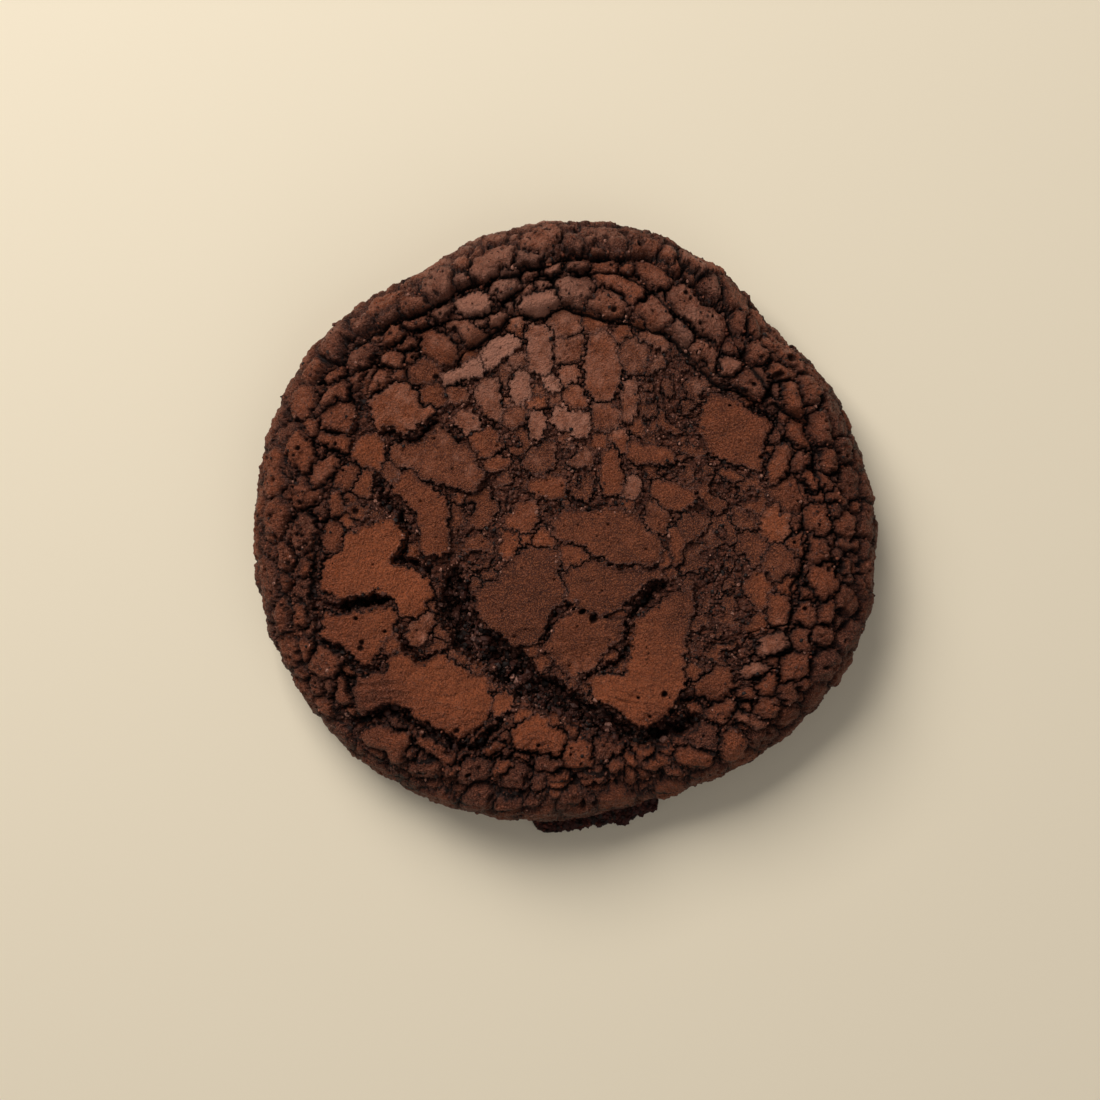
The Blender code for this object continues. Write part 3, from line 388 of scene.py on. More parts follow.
class Grains:
    # uneven grains side by side over the whole disc
    def __init__(self, size, jitter, seed):
        self.size = size
        self.count = int(2.3 * body["disc"] / size) + 4
        draw = np.random.default_rng(seed)
        numbers = np.stack(np.meshgrid(range(self.count), range(self.count), indexing="ij"), -1)
        spots = numbers + 0.5 + jitter * (draw.random(numbers.shape) - 0.5) - 0.5 * self.count
        self.spots = (spots * size).reshape(-1, 2)
        self.value = draw.uniform(-1.0, 1.0, len(self.spots))

    def around(self, points):
        # each point's own grain, the nine round the point, and how far off the border to each of them is
        place = np.floor(points / self.size + 0.5 * self.count).astype(int)
        steps = [i * self.count + j for i in (-1, 0, 1) for j in (-1, 0, 1)]
        near = (place[:, 0] * self.count + place[:, 1])[:, None] + steps
        apart = ((self.spots[near] - points[:, None]) ** 2).sum(2)
        own = near[np.arange(len(points)), apart.argmin(1)]
        across = np.sqrt(((self.spots[near] - self.spots[own][:, None]) ** 2).sum(2))
        border = (apart - apart.min(1)[:, None]) / (2 * np.maximum(across, 1e-6))
        border[near == own[:, None]] = farAway
        return own, near, border


def outlineRadius(angle):
    # a smooth curve through the given radii
    radius = np.array(body["outline"])
    count = len(radius)
    place = (angle % (2.0 * math.pi)) / (2.0 * math.pi) * count
    index = np.floor(place).astype(int)
    t = place - index
    before, here, there, after = (radius[(index + k) % count] for k in (-1, 0, 1, 2))
    bend = 2 * before - 5 * here + 4 * there - after + t * (3 * (here - there) + after - before)
    return here + 0.5 * t * (there - before + t * bend)


def frontShare(angle):
    # 1 at the front, where the slope is longer, and 0 all round the rest
    turned = wrapped(angle - math.radians(body["frontAngle"])) / math.radians(body["frontSpread"])
    return np.exp(-(turned**2))


def bodySurface(disc):
    # places on the plain body, its normals there, and how far down the side: 0 on the top, 1 at the base
    share = lengthOf(disc) / body["disc"]
    angle = np.arctan2(disc[:, 1], disc[:, 0])
    front = frontShare(angle)
    outer = outlineRadius(angle)
    shoulder = mix(body["shoulder"], body["frontShoulder"], front)
    belly = mix(body["bellyHeight"], body["frontBellyHeight"], front)
    undercut = mix(body["undercut"], body["frontUndercut"], front)
    topShare, bellyShare = body["topShare"], body["bellyShare"]
    down = np.clip((share - topShare) / (1.0 - topShare), 0.0, 1.0)
    upper = np.clip(down / bellyShare, 0.0, 1.0) * math.pi / 2
    lower = np.clip((down - bellyShare) / (1.0 - bellyShare), 0.0, 1.0) * math.pi / 2
    inner = outer - shoulder
    flat = inner * np.minimum(share / topShare, 1.0)
    radius = flat + shoulder * np.sin(upper) - undercut * (1.0 - np.cos(lower))
    top = mix(body["centreHeight"], body["rimHeight"], smooth(0.55, 0.95, flat / inner))
    height = belly * (1.0 - np.sin(lower)) + (top - belly) * np.cos(upper)
    out = np.where(lower > 0, np.cos(lower) * belly, np.sin(upper) * (top - belly))
    up = np.where(lower > 0, -np.sin(lower) * undercut, np.cos(upper) * shoulder)
    size = np.hypot(out, up)
    across, along = np.cos(angle), np.sin(angle)
    places = np.stack([radius * across, radius * along, height], 1)
    normals = np.stack([out / size * across, out / size * along, up / size], 1)
    return places, normals, down


def discPoints(plan):
    # where on the disc the places are that the tables above give as seen from above
    plan = np.asarray(plan, float)
    angle = np.arctan2(plan[:, 1], plan[:, 0])
    shoulder = mix(body["shoulder"], body["frontShoulder"], frontShare(angle))
    inner = outlineRadius(angle) - shoulder
    beyond = np.clip((lengthOf(plan) - inner) / shoulder, 0.0, 1.0)
    share = body["topShare"] * np.minimum(lengthOf(plan) / inner, 1.0)
    share += (1.0 - body["topShare"]) * body["bellyShare"] * np.arcsin(beyond) / (math.pi / 2)
    return np.stack([np.cos(angle), np.sin(angle)], 1) * (share * body["disc"])[:, None]


def lineDistance(points, start, end):
    line = end - start
    share = np.clip((points - start) @ line / max(float(line @ line), 1e-9), 0.0, 1.0)
    return lengthOf(points - start - share[:, None] * line), share


def pathDistance(points, path):
    # distance to a path, the place along it in legs, the side (+1 outside it) and the way it runs there
    best = np.full(len(points), np.inf)
    place, side, way = np.zeros(len(points)), np.ones(len(points)), np.zeros(len(points))
    for leg, (start, end) in enumerate(zip(path[:-1], path[1:])):
        distance, share = lineDistance(points, start, end)
        nearer = distance < best
        best[nearer] = distance[nearer]
        place[nearer] = leg + share[nearer]
        foot = start + share[:, None] * (end - start)
        side[nearer] = np.sign(((points - foot) * foot).sum(1))[nearer]
        way[nearer] = math.atan2(end[1] - start[1], end[0] - start[0])
    return best, place, side, way


def insideDistance(points, corners):
    # distance to a closed outline, negative inside it
    best = np.full(len(points), np.inf)
    inside = np.zeros(len(points), bool)
    for start, end in zip(corners, np.roll(corners, -1, axis=0)):
        best = np.minimum(best, lineDistance(points, start, end)[0])
        if start[1] != end[1]:
            crosses = (start[1] > points[:, 1]) != (end[1] > points[:, 1])
            at = (end[0] - start[0]) * (points[:, 1] - start[1]) / (end[1] - start[1]) + start[0]
            inside ^= crosses & (points[:, 0] < at)
    return np.where(inside, -best, best)


def creviceHalf(place, halfWidths):
    # half width of a crevice along its path, and the share of its depth, which fades at both ends
    ends = np.clip(np.minimum(place, len(halfWidths) - 1 - place) / 0.6, 0.0, 1.0)
    return np.interp(place, range(len(halfWidths)), halfWidths) * mix(0.3, 1.0, ends), mix(0.15, 1.0, ends)


class Pieces:
    # what the crust has broken into: named plates, and pebbles between them
    def __init__(self):
        self.shapes, self.looks = [], []
        for plate in plates.values():
            if "outline" in plate:
                corners = discPoints(plate["outline"])
                middle, reach = corners.mean(0), lengthOf(corners - corners.mean(0)).max()
                self.add("outline", corners, middle, reach, plate)
            else:
                strokes = [(*discPoints([s[:2], s[2:4]]), s[4]) for s in plate["strokes"]]
                ends = np.array([end for stroke in strokes for end in stroke[:2]])
                reach = lengthOf(ends - ends.mean(0)).max() + max(s[2] for s in strokes)
                self.add("strokes", strokes, ends.mean(0), reach, plate)
        self.plateCount = len(self.shapes)
        self.scatter()

    def add(self, kind, form, middle, reach, look):
        self.shapes.append((kind, form, middle, reach))
        usual = {"tone": 0.5, "pale": 0.0, "lift": 0.3, "wrinkles": 0.0}
        self.looks.append([look.get(name, value) for name, value in usual.items()])

    def distanceTo(self, shape, points):
        kind, form, _, _ = shape
        if kind == "outline":
            return insideDistance(points, form)
        distances = [lineDistance(points, start, end)[0] - radius for start, end, radius in form]
        return np.minimum.reduce(distances)

    def scatter(self):
        # pebbles of ever smaller sizes fill the room between the plates, the folds and the crevices
        draw = np.random.default_rng(crust["seed"])
        count, widths = crust["pebbleTries"], crust["pebbleWidth"]
        nearFold, behind, longer = crust["besideFolds"]
        lines = [(discPoints(line), np.zeros(len(line))) for line, _ in folds.values()]
        lines += [(discPoints(line), np.array(half)) for line, half, _ in crevices.values()]
        centres, reaches = np.zeros((0, 2)), np.zeros(0)
        for size in crust["pebbleSizes"]:
            away = body["disc"] * np.sqrt(draw.random(count))
            angle = 2 * math.pi * draw.random(count)
            turn = draw.uniform(-0.4, 0.4, count)
            stretch = draw.uniform(0.0, 1.0, count)
            looks = draw.random((count, 2))
            spots = away[:, None] * np.stack([np.cos(angle), np.sin(angle)], 1)
            zones = [away < crust["rimZone"][0] + 3, away < crust["flankZone"]]
            width = np.select(zones, [widths["centre"], widths["rim"]], widths["flank"])
            reach = 0.5 * width * size
            clear, nearest = np.full(count, np.inf), np.full(count, np.inf)
            heading = angle + math.pi / 2
            for path, half in lines:
                distance, place, _, way = pathDistance(spots, path)
                clear = np.minimum(clear, distance - np.interp(place, range(len(path)), half))
                nearer = distance < nearest
                nearest[nearer] = distance[nearer]
                follows = nearer & (distance < crust["follow"])
                heading[follows] = way[follows]
            for shape in self.shapes[: self.plateCount]:
                close = lengthOf(spots - shape[2]) < shape[3] + 6.0
                clear[close] = np.minimum(clear[close], self.distanceTo(shape, spots[close]))
            heading = heading + turn
            centreShare = 1.0 - smooth(*crust["rimZone"], away)
            wanted = reach * mix(0.8, 0.95, centreShare)
            for k in np.flatnonzero((clear > wanted) & (away + 0.8 * reach < body["disc"])):
                half = reach[k] * (0.25 + 0.75 * stretch[k]) * mix(0.9, 0.45, centreShare[k])
                if nearest[k] < nearFold and spots[k][1] > behind and centreShare[k] < 0.5:
                    half = half * longer
                along = np.array([math.cos(heading[k]), math.sin(heading[k])]) * half
                if clear[k] < wanted[k] + 0.5 * half and half < 1.5 * reach[k]:
                    along = along * 0.3
                ends = np.array([spots[k] - along, spots[k] + along])
                apart = reaches + reach[k] + mix(0.0, 0.12, centreShare[k])
                if len(centres) and any((lengthOf(centres - end) < apart).any() for end in ends):
                    continue
                centres = np.concatenate([centres, ends])
                reaches = np.concatenate([reaches, [reach[k]] * 2])
                look = {"tone": 0.25 + 0.6 * looks[k, 0], "pale": 0.2 * looks[k, 1] ** 2, "lift": 0.0}
                self.add("strokes", [(ends[0], ends[1], reach[k])], spots[k], reach[k] + half, look)

    def fields(self, points):
        # distance to the nearest piece and to the next one, and which the nearest is
        best, second = np.full(len(points), farAway), np.full(len(points), farAway)
        owner = np.zeros(len(points), int)
        order = np.argsort(points[:, 0])
        across = points[order, 0]
        for number, shape in enumerate(self.shapes):
            middle, reach = shape[2], shape[3] + 3.5
            first, last = np.searchsorted(across, [middle[0] - reach, middle[0] + reach])
            span = order[first:last]
            near = span[np.abs(points[span, 1] - middle[1]) < reach]
            distance = self.distanceTo(shape, points[near])
            nearer = distance < best[near]
            second[near] = np.where(nearer, best[near], np.minimum(second[near], distance))
            best[near] = np.where(nearer, distance, best[near])
            owner[near] = np.where(nearer, number, owner[near])
        return best, np.minimum(second, best + 8.0), owner


def warped(disc):
    # the pieces are cut out of a disc that is drawn about, so that no edge of theirs is smooth
    moved = disc.copy()
    for number, (size, reach) in enumerate(crust["warp"]):
        for axis in (0, 1):
            moved[:, axis] += reach * noiseAt(disc, size, 10 + 7 * number + 3 * axis)
    return moved


def quarterDisc():
    # one quarter as a square grid; its first row and column are the feet of the walls along the seams
    cuts = crust["cuts"]
    bpy.ops.mesh.primitive_grid_add(x_subdivisions=cuts + 1, y_subdivisions=cuts + 1, size=2.0)
    piece = bpy.context.object
    flat = np.zeros(len(piece.data.vertices) * 3)
    piece.data.vertices.foreach_get("co", flat)
    steps = np.round((flat.reshape(-1, 3)[:, :2] + 1.0) * 0.5 * (cuts + 1)).astype(int)
    return piece, steps


def discGrid():
    # the quarters, their points on the disc, and which of those are feet of a wall or lie on a seam
    middle, power = crust["spread"]
    quarters, discs, walls, seams = [], [], [], []
    for turn in range(4):
        piece, steps = quarterDisc()
        share = np.maximum(steps - 1, 0) / crust["cuts"]
        wall = steps.min(1) == 0
        share[wall] = np.maximum(share[wall], crust["wallFoot"] / body["disc"])
        a, b = share[:, 0], share[:, 1]
        long, short = np.maximum(a, b), np.minimum(a, b)
        angle = math.pi / 4 * short / np.maximum(long, 1e-9)
        angle = np.where(a >= b, angle, math.pi / 2 - angle)
        reach = body["disc"] * long * (middle + (1.0 - middle) * long**power)
        across, along = reach * np.cos(angle), reach * np.sin(angle)
        across[steps[:, 0] == 1], along[steps[:, 1] == 1] = 0.0, 0.0
        for _ in range(turn):
            across, along = -along, across
        quarters.append(piece)
        discs.append(np.stack([across, along], 1))
        walls.append(wall)
        seams.append((steps.min(1) == 1) & (steps.max(1) <= crust["cuts"]))
    return quarters, np.concatenate(discs), np.concatenate(walls), np.concatenate(seams)


def foldRelief(calm, wander):
    # height of the folds, and how far into the gap under each one a point is: 0 on its line, 1 at its edge
    relief, gap = np.zeros(len(calm)), np.full(len(calm), farAway)
    roll, inwards = foldShape["roll"], foldShape["gapInside"]
    for line, height in folds.values():
        path = discPoints(line)
        distance, place, side, _ = pathDistance(calm, path)
        signed = distance * side
        fade = np.clip(np.minimum(place, len(path) - 1 - place) / foldShape["ends"], 0.0, 1.0)
        rise = 1.0 - (1.0 - np.clip((signed + inwards) / roll, 0.0, 1.0)) ** 2
        outside = np.sqrt(rise) * np.exp(-np.maximum(signed - roll, 0.0) / foldShape["run"])
        inside = foldShape["dip"] * np.exp(-np.abs(signed) / foldShape["dipRun"])
        relief += fade * height * (outside - inside)
        half = foldShape["gap"] * min(height, 1.6) * fade * np.clip(0.85 + 1.1 * wander, 0.1, 1.8)
        gap = np.minimum(gap, np.abs(signed + inwards) / np.maximum(half, 0.05))
    return relief, gap


def raggedAt(points):
    # how much the edges of the crevices wander
    return noiseAt(points, 1.3, 41) + 0.7 * noiseAt(points, 3.0, 42)


def creviceDepth(points, ragged):
    # how far inside the edge of a crevice a point is, how deep that crevice is, and the sag round the trench
    into, depth = np.full(len(points), -farAway), np.zeros(len(points))
    sagDepth, sagReach = crust["sag"]
    for name, (line, halfWidths, deep) in crevices.items():
        distance, place, _, _ = pathDistance(points, discPoints(line))
        half, share = creviceHalf(place, halfWidths)
        distance = distance + 0.6 * ragged * np.clip(half, 0.3, 1.8)
        inside = half * np.clip(share * 1.6, 0.0, 1.0) - distance
        depth = np.where(inside > into, deep * share, depth)
        into = np.maximum(into, inside)
        if name == "trench":
            sag = sagDepth * np.exp(-((distance / sagReach) ** 2))
    return into, depth, sag


def footReach(places, down):
    # how far the torn foot of crumb stands out at the base
    angle = np.arctan2(places[:, 1], places[:, 0])
    around = np.stack([angle * 50.0, places[:, 2]], 1)  # millimetres round the side, and up
    ragged = 0.7 * noiseAt(around, 2.6, 1) + 0.35 * noiseAt(around, 0.9, 2)
    reach = np.zeros(len(places))
    for direction, spread, out, top in body["foot"]:
        turned = wrapped(angle - math.radians(direction)) / math.radians(spread)
        lobe = 1.0 - smooth(0.78, 1.1, np.abs(turned) + 0.1 * ragged)
        low = 1.0 - smooth(top - 2.0, top, places[:, 2])
        reach = np.maximum(reach, lobe * low * np.maximum(out + ragged, 0.3))
    return reach * smooth(0.7, 0.85, down)


def zoneShare(zones, plan):
    # how much of a zone's look a place has, which fades at the edge of the zone
    share = np.zeros(len(plan))
    for x, y, wide, long, much in zones.values():
        away = np.hypot((plan[:, 0] - x) / wide, (plan[:, 1] - y) / long)
        share = np.maximum(share, much * (1.0 - smooth(0.6, 1.15, away)))
    return share


def crumblyShare(plan, down):
    return zoneShare(crumbled, plan) * (1.0 - smooth(0.45, 0.6, down))


def fadeFrom(plan, x, y, reach):
    # 1 at a spot, and less the further off it a place is
    return np.exp(-((lengthOf(plan - [x, y]) / reach) ** 2))


def labelGrains(pieces, spots, lumps):
    # which piece each grain belongs to: its own lump where the crust is loose, and none in a crevice
    best, _, label = pieces.fields(warped(spots))
    places, _, down = bodySurface(spots)
    crumbly = crumblyShare(places[:, :2], down)
    sound, broken, atRim = crust["loose"]
    reach = mix(mix(sound, broken, crumbly), atRim, smooth(*crust["rimZone"], lengthOf(spots)))
    reach = reach + 0.5 * noiseAt(spots, 2.4, 31)
    named = label < pieces.plateCount
    reach = np.where(named, np.minimum(reach, 0.25), reach)
    loose = best > reach
    loose |= ~named & (crumbly * 0.9 + 1.2 * noiseAt(spots, 3.4, 32) > 0.85)
    label = np.where(loose, len(pieces.shapes) + lumps.around(spots)[0], label)
    opened = creviceDepth(warped(spots), raggedAt(spots))[0] > 0.0
    return np.where(opened, -1, label), loose, opened


def gapToNext(label, own, near, border):
    # how far off the nearest grain with another label is, and which it is
    gaps = np.where(label[near] != label[own][:, None], border, farAway)
    return gaps.min(1), near[np.arange(len(own)), gaps.argmin(1)]


def swayed(grains, disc, reach, size, seed):
    # height of each point's own grain and how far off its border is, where the borders wander
    sway = reach * np.stack([noiseAt(disc, size, seed), noiseAt(disc, size, seed + 1)], 1)
    own, _, border = grains.around(disc + sway)
    return grains.value[own], border.min(1)


def hollowDepth(disc, rim, spongy, pitted, small, fine):
    # pits all over the rough crust, and round pores, most of them round the rim
    pits = Grains(**crust["pit"])
    own, _, _ = pits.around(disc)
    radius = np.clip(0.5 * (pits.value[own] - 0.3 + 0.7 * spongy), 0.0, 0.42) * mix(0.7, 1.0, rim)
    share = lengthOf(disc - pits.spots[own]) * (1.0 + 0.5 * fine) / np.maximum(radius, 0.05)
    hollow = 0.6 * pitted * (radius > 0.08) * (1.0 - smooth(0.6, 1.3, share))
    draw = np.random.default_rng(5)
    pores = []
    for _ in range(crust["pores"]):
        away = body["disc"] * math.sqrt(draw.random())
        angle = 2 * math.pi * draw.random()
        outer = away > crust["rimZone"][0]
        radius = draw.uniform(0.2, 0.5) if outer else draw.uniform(0.14, 0.26)
        pores.append((away * math.cos(angle), away * math.sin(angle), radius, 0.9 if outer else 0.4))
    pores += [(*discPoints([(x, y)])[0], radius, 1.6) for x, y, radius in holes]
    for x, y, radius, deep in pores:
        close = (np.abs(disc[:, 0] - x) < 2 * radius) & (np.abs(disc[:, 1] - y) < 2 * radius)
        close = np.flatnonzero(close)
        away = lengthOf(disc[close] - [x, y]) / radius * (1.0 + 0.6 * small[close])
        hollow[close] = np.maximum(hollow[close], deep * (1.0 - smooth(0.5, 1.25, away)))
    return hollow


def makeCrust():
    quarters, disc, wall, seam = discGrid()
    pieces = Pieces()
    grains, bits, lumps = Grains(**crust["grain"]), Grains(**crust["bit"]), Grains(**crust["lump"])
    spots = grains.spots
    print("crust:", len(pieces.shapes), "pieces,", len(disc), "points,", len(spots), "grains")
    label, spotLoose, spotOpen = labelGrains(pieces, spots, lumps)

    # points close to a crack are moved onto it, so that it runs as one line
    own, near, border = grains.around(disc)
    gap, other = gapToNext(label, own, near, border)
    across = spots[other] - spots[own]
    across /= np.maximum(lengthOf(across), 1e-6)[:, None]
    spacing = body["disc"] / crust["cuts"]
    moved = (gap < crust["snap"] * spacing) & (lengthOf(disc) < body["disc"] - 1.5) & ~seam & ~wall
    disc[moved] += (across * gap[:, None])[moved]
    print("crust: points on cracks", int(moved.sum()))

    grained, near, border = grains.around(disc)
    own = np.where(moved, own, grained)
    gap, other = gapToNext(label, own, near, border)
    gap = np.where(moved, 0.0, gap)
    bitHeight, bitGap = swayed(bits, disc, 0.2, 0.6, 53)
    lumpHeight, lumpGap = swayed(lumps, disc, 0.25, 0.9, 51)
    calm = warped(disc)
    best, second, owner = pieces.fields(calm)
    far = 0.5 * (second - best)
    loose = spotLoose[own].astype(float)
    owner = np.where((label[own] >= 0) & (label[own] < len(pieces.shapes)), label[own], owner)
    places, normals, down = bodySurface(disc)
    plan = places[:, :2]
    rim = smooth(*crust["rimZone"], lengthOf(disc))
    plate = (owner < pieces.plateCount) & (loose < 0.5)
    tone, pale, lift, wrinkles = np.array(pieces.looks)[owner].T
    middles = np.array([shape[2] for shape in pieces.shapes])[owner]
    draw = np.random.default_rng(crust["seed"]).uniform(-1.0, 1.0, (len(pieces.shapes), 3))[owner]
    crumbly = crumblyShare(plan, down)
    spongy = zoneShare(porous, plan)
    front = frontShare(np.arctan2(disc[:, 1], disc[:, 0])) * smooth(0.0, 0.2, down)
    big, mid = noiseAt(disc, 5.0, 3), noiseAt(disc, 2.2, 7)
    small, fine = noiseAt(disc, 1.1, 4), noiseAt(disc, 0.5, 6)
    widths = noiseAt(disc, 2.6, 9)

    # the cracks: how wide and how deep, with stretches where they close up
    inMiddle = smooth(-0.15, 0.35, noiseAt(disc, 6.0, 13) + 0.4 * widths) * (1.0 - 0.4 * crumbly) + 0.15
    onRim = 0.25 + 0.75 * smooth(-0.35, 0.3, 0.6 * big + 0.8 * widths)
    strength = np.clip(mix(inMiddle, onRim, rim), 0.0, 1.0) * mix(1.0, 0.45, smooth(0.2, 0.45, down))
    strength *= (1.0 - 0.6 * spongy) * (1.0 - 0.7 * front)
    strength *= np.where(spotLoose[own] & spotLoose[other], 0.3, 1.0)
    half = mix(*crust["crackHalf"], rim) * np.clip(0.9 + 1.5 * widths + 0.8 * small, 0.4, 2.6)
    groove = 1.0 - np.clip(gap / half, 0.0, 1.0)
    pebbly = np.where(plate, 0.5 * rim, 1.0)
    rough = np.maximum(loose * mix(1.0, 0.75, rim), 0.25 * pebbly * rim)
    cell = np.clip(bitGap / 0.22, 0.0, 1.0)

    # each piece lies a little askew, drops beside its cracks and has a rounded back
    shoulder = 1.0 - np.clip(np.minimum(gap, 0.7) / 0.7, 0.0, 1.0)
    bulge = 1.0 - np.clip(np.sqrt(far**2 + 0.1) / mix(1.3, 1.7, rim), 0.0, 1.0)
    dome = -0.5 * shoulder**2 - 0.5 * bulge**2
    relief = crust["offset"] * mix(1.0, 1.5, rim) * draw[:, 0]
    relief += crust["tilt"] * mix(0.6, 1.4, rim) * ((calm - middles) * draw[:, 1:]).sum(1)
    relief *= 1.0 - loose
    relief -= mix(*crust["shoulder"], rim) * shoulder**2 * (0.4 + 0.6 * strength)
    rounded = (0.5 + 0.5 * pebbly) * (1.0 - 0.6 * loose) * (1.0 - 0.5 * front)
    relief -= mix(*crust["dome"], rim) * bulge**2 * rounded
    relief += np.where(plate, lift, 0.0)
    relief -= loose * (0.18 + 0.12 * rim)
    relief -= strength * mix(*crust["crackDepth"], rim) * groove
    relief *= mix(1.0, 0.5, smooth(0.2, 0.5, down))

    # lumps and bits: strong where the crust is loose, weak on pebbles, hardly any on plates
    lumpy = np.maximum(np.maximum(loose, 0.75 * pebbly * rim * smooth(-0.3, 0.2, mid)), spongy)
    lumpy *= 1.0 - 0.6 * front
    lumpEdge = (1.0 - np.clip(lumpGap / 0.5, 0.0, 1.0)) ** 2
    relief += lumpy * (mix(*crust["lumpRise"], loose) * lumpHeight - mix(*crust["lumpGap"], loose) * lumpEdge)
    grainy = np.maximum(loose, mix(0.12, 0.45, rim) * pebbly)
    relief += grainy * (crust["bitRise"] * bitHeight - crust["bitGap"] * (1.0 - cell))
    coarse, waves = np.maximum(loose, rim * pebbly), crust["waves"]
    relief += waves["big"] * big + mix(*waves["mid"], rim * pebbly) * mid
    relief += mix(*waves["small"], coarse) * small
    relief += mix(*waves["fine"], coarse) * fine

    # folds with a gap under each, and crevices with a lumpy floor
    folding, foldGap = foldRelief(calm, widths)
    relief += folding * (1.0 - smooth(0.45, 0.75, down))
    relief -= 0.9 * np.clip(1.0 - foldGap, 0.0, 1.0) * (1.0 - smooth(0.3, 0.6, down))
    _, depth, sag = creviceDepth(calm, raggedAt(disc))
    edge, _ = gapToNext(spotOpen, own, near, border)
    edge = np.where(moved & (edge < crust["creviceEdge"]), 0.0, edge)
    inside = np.where(spotOpen[own], np.clip(edge / crust["creviceEdge"], 0.0, 1.0), 0.0)
    floor = 1.1 * lumpHeight - 0.8 * lumpEdge + 0.4 * bitHeight + 0.4 * small - 0.3 * (1.0 - cell)
    floor = smooth(0.3, 1.0, inside) * np.minimum(depth * 0.25, 1.0) * floor
    relief += (floor - depth * inside - sag) * (1.0 - smooth(0.1, 0.5, down))
    relief += body["swell"] * noiseAt(disc, body["swellLength"], 5)
    pitted = np.maximum(loose, mix(0.3, 1.0, rim) * pebbly)
    hollow = hollowDepth(disc, rim, spongy, pitted, small, fine)
    relief -= hollow

    # the front flank is drawn into level wrinkles, and so are some of the plates
    wrinkled = front * (1.0 - smooth(0.93, 1.0, down))
    wrinkle = noiseAt(disc * [0.14, 1.0], 0.75, 18) + 0.6 * noiseAt(disc * [0.2, 1.0], 1.6, 19)
    relief += wrinkled * crust["frontWrinkles"] * wrinkle
    # the low lines of the wrinkles are creases, which the crack field darkens with painted shade
    crease = np.where(wrinkled > 0.25, np.maximum(wrinkle + 0.5, 0.0) / 0.22, farAway)
    drawn = wrinkles * plate
    for x, y, reach, much in wrinkledPlaces:
        drawn = np.maximum(drawn, much * fadeFrom(plan, x, y, reach))
    relief += drawn * crust["plateWrinkles"] * noiseAt(disc * [0.4, 1.0], 0.9, 12)

    # the base is flat, and the feet of the walls along the seams stay inside it
    relief *= 1.0 - smooth(0.9, 1.0, down)
    places = places + normals * relief[:, None]
    away = places[:, :2] / np.maximum(lengthOf(places), 1.0)[:, None]
    foot = footReach(places, down)
    places[:, :2] += away * foot[:, None]
    base = (lengthOf(disc) > body["disc"] - 0.01) | wall
    places[:, 2] = np.where(base, 0.0, np.maximum(places[:, 2], crust["lowest"]))
    share = lengthOf(disc[wall])[:, None] / body["disc"]
    places[wall, :2] = 0.99 * share * bodySurface(disc[wall] / share)[0][:, :2]

    # the finished crust fills the part's own box
    low, high = places.min(0), places.max(0)
    places = (places - low) / (high - low) * (boxHigh - boxLow) + boxLow

    cracked = gap / (half * np.clip(strength * 1.3, 0.05, 1.0))
    tone = tone - (0.35 * crumbly + 0.1 * spongy) * (owner >= pieces.plateCount)
    # painted sheen: the rim is paler on the rounded backs of its pieces, the more so towards the back, where
    # the window lamp is
    pale = pale + 0.5 * rim * (0.55 + dome) * smooth(5.0, 35.0, plan[:, 1])
    for x, y, reach, much in sheenSpots:
        pale = pale + much * fadeFrom(plan, x, y, reach)
    for x, y, reach, much in shades:
        tone = tone + much * fadeFrom(plan, x, y, reach)
    fields = {
        # near black along the cracks, partly dark fudge and partly painted shade, and painted shade in the
        # gaps under the folds and in the creases
        "crack": np.minimum(np.minimum(cracked, foldGap), np.minimum(crease, 6.0)),
        "rough": rough, "tone": tone, "pale": pale, "open": inside, "rim": rim,
        "hollow": np.clip(hollow, 0, 1), "foot": np.clip(foot, 0, 1), "dome": 1.0 + dome,
        "cell": cell, "edge": np.minimum(gap, 2.0), "seam": seam.astype(float),
    }
    ends = np.linspace(0, len(disc), len(quarters) + 1).astype(int)
    for letter, piece, first, last in zip("ABCD", quarters, ends[:-1], ends[1:]):
        part = slice(first, last)
        held = {name: values[part] for name, values in fields.items()}
        shapeQuarter(piece, places[part], relief[part], held)
        piece.name = "crackledCrust" + letter
    surface = {
        "places": places, "normals": normals, "rough": rough, "rim": rim, "edge": gap, "open": inside,
        "foot": foot, "down": down, "plate": plate,
    }
    return quarters, {name: values[~wall] for name, values in surface.items()}


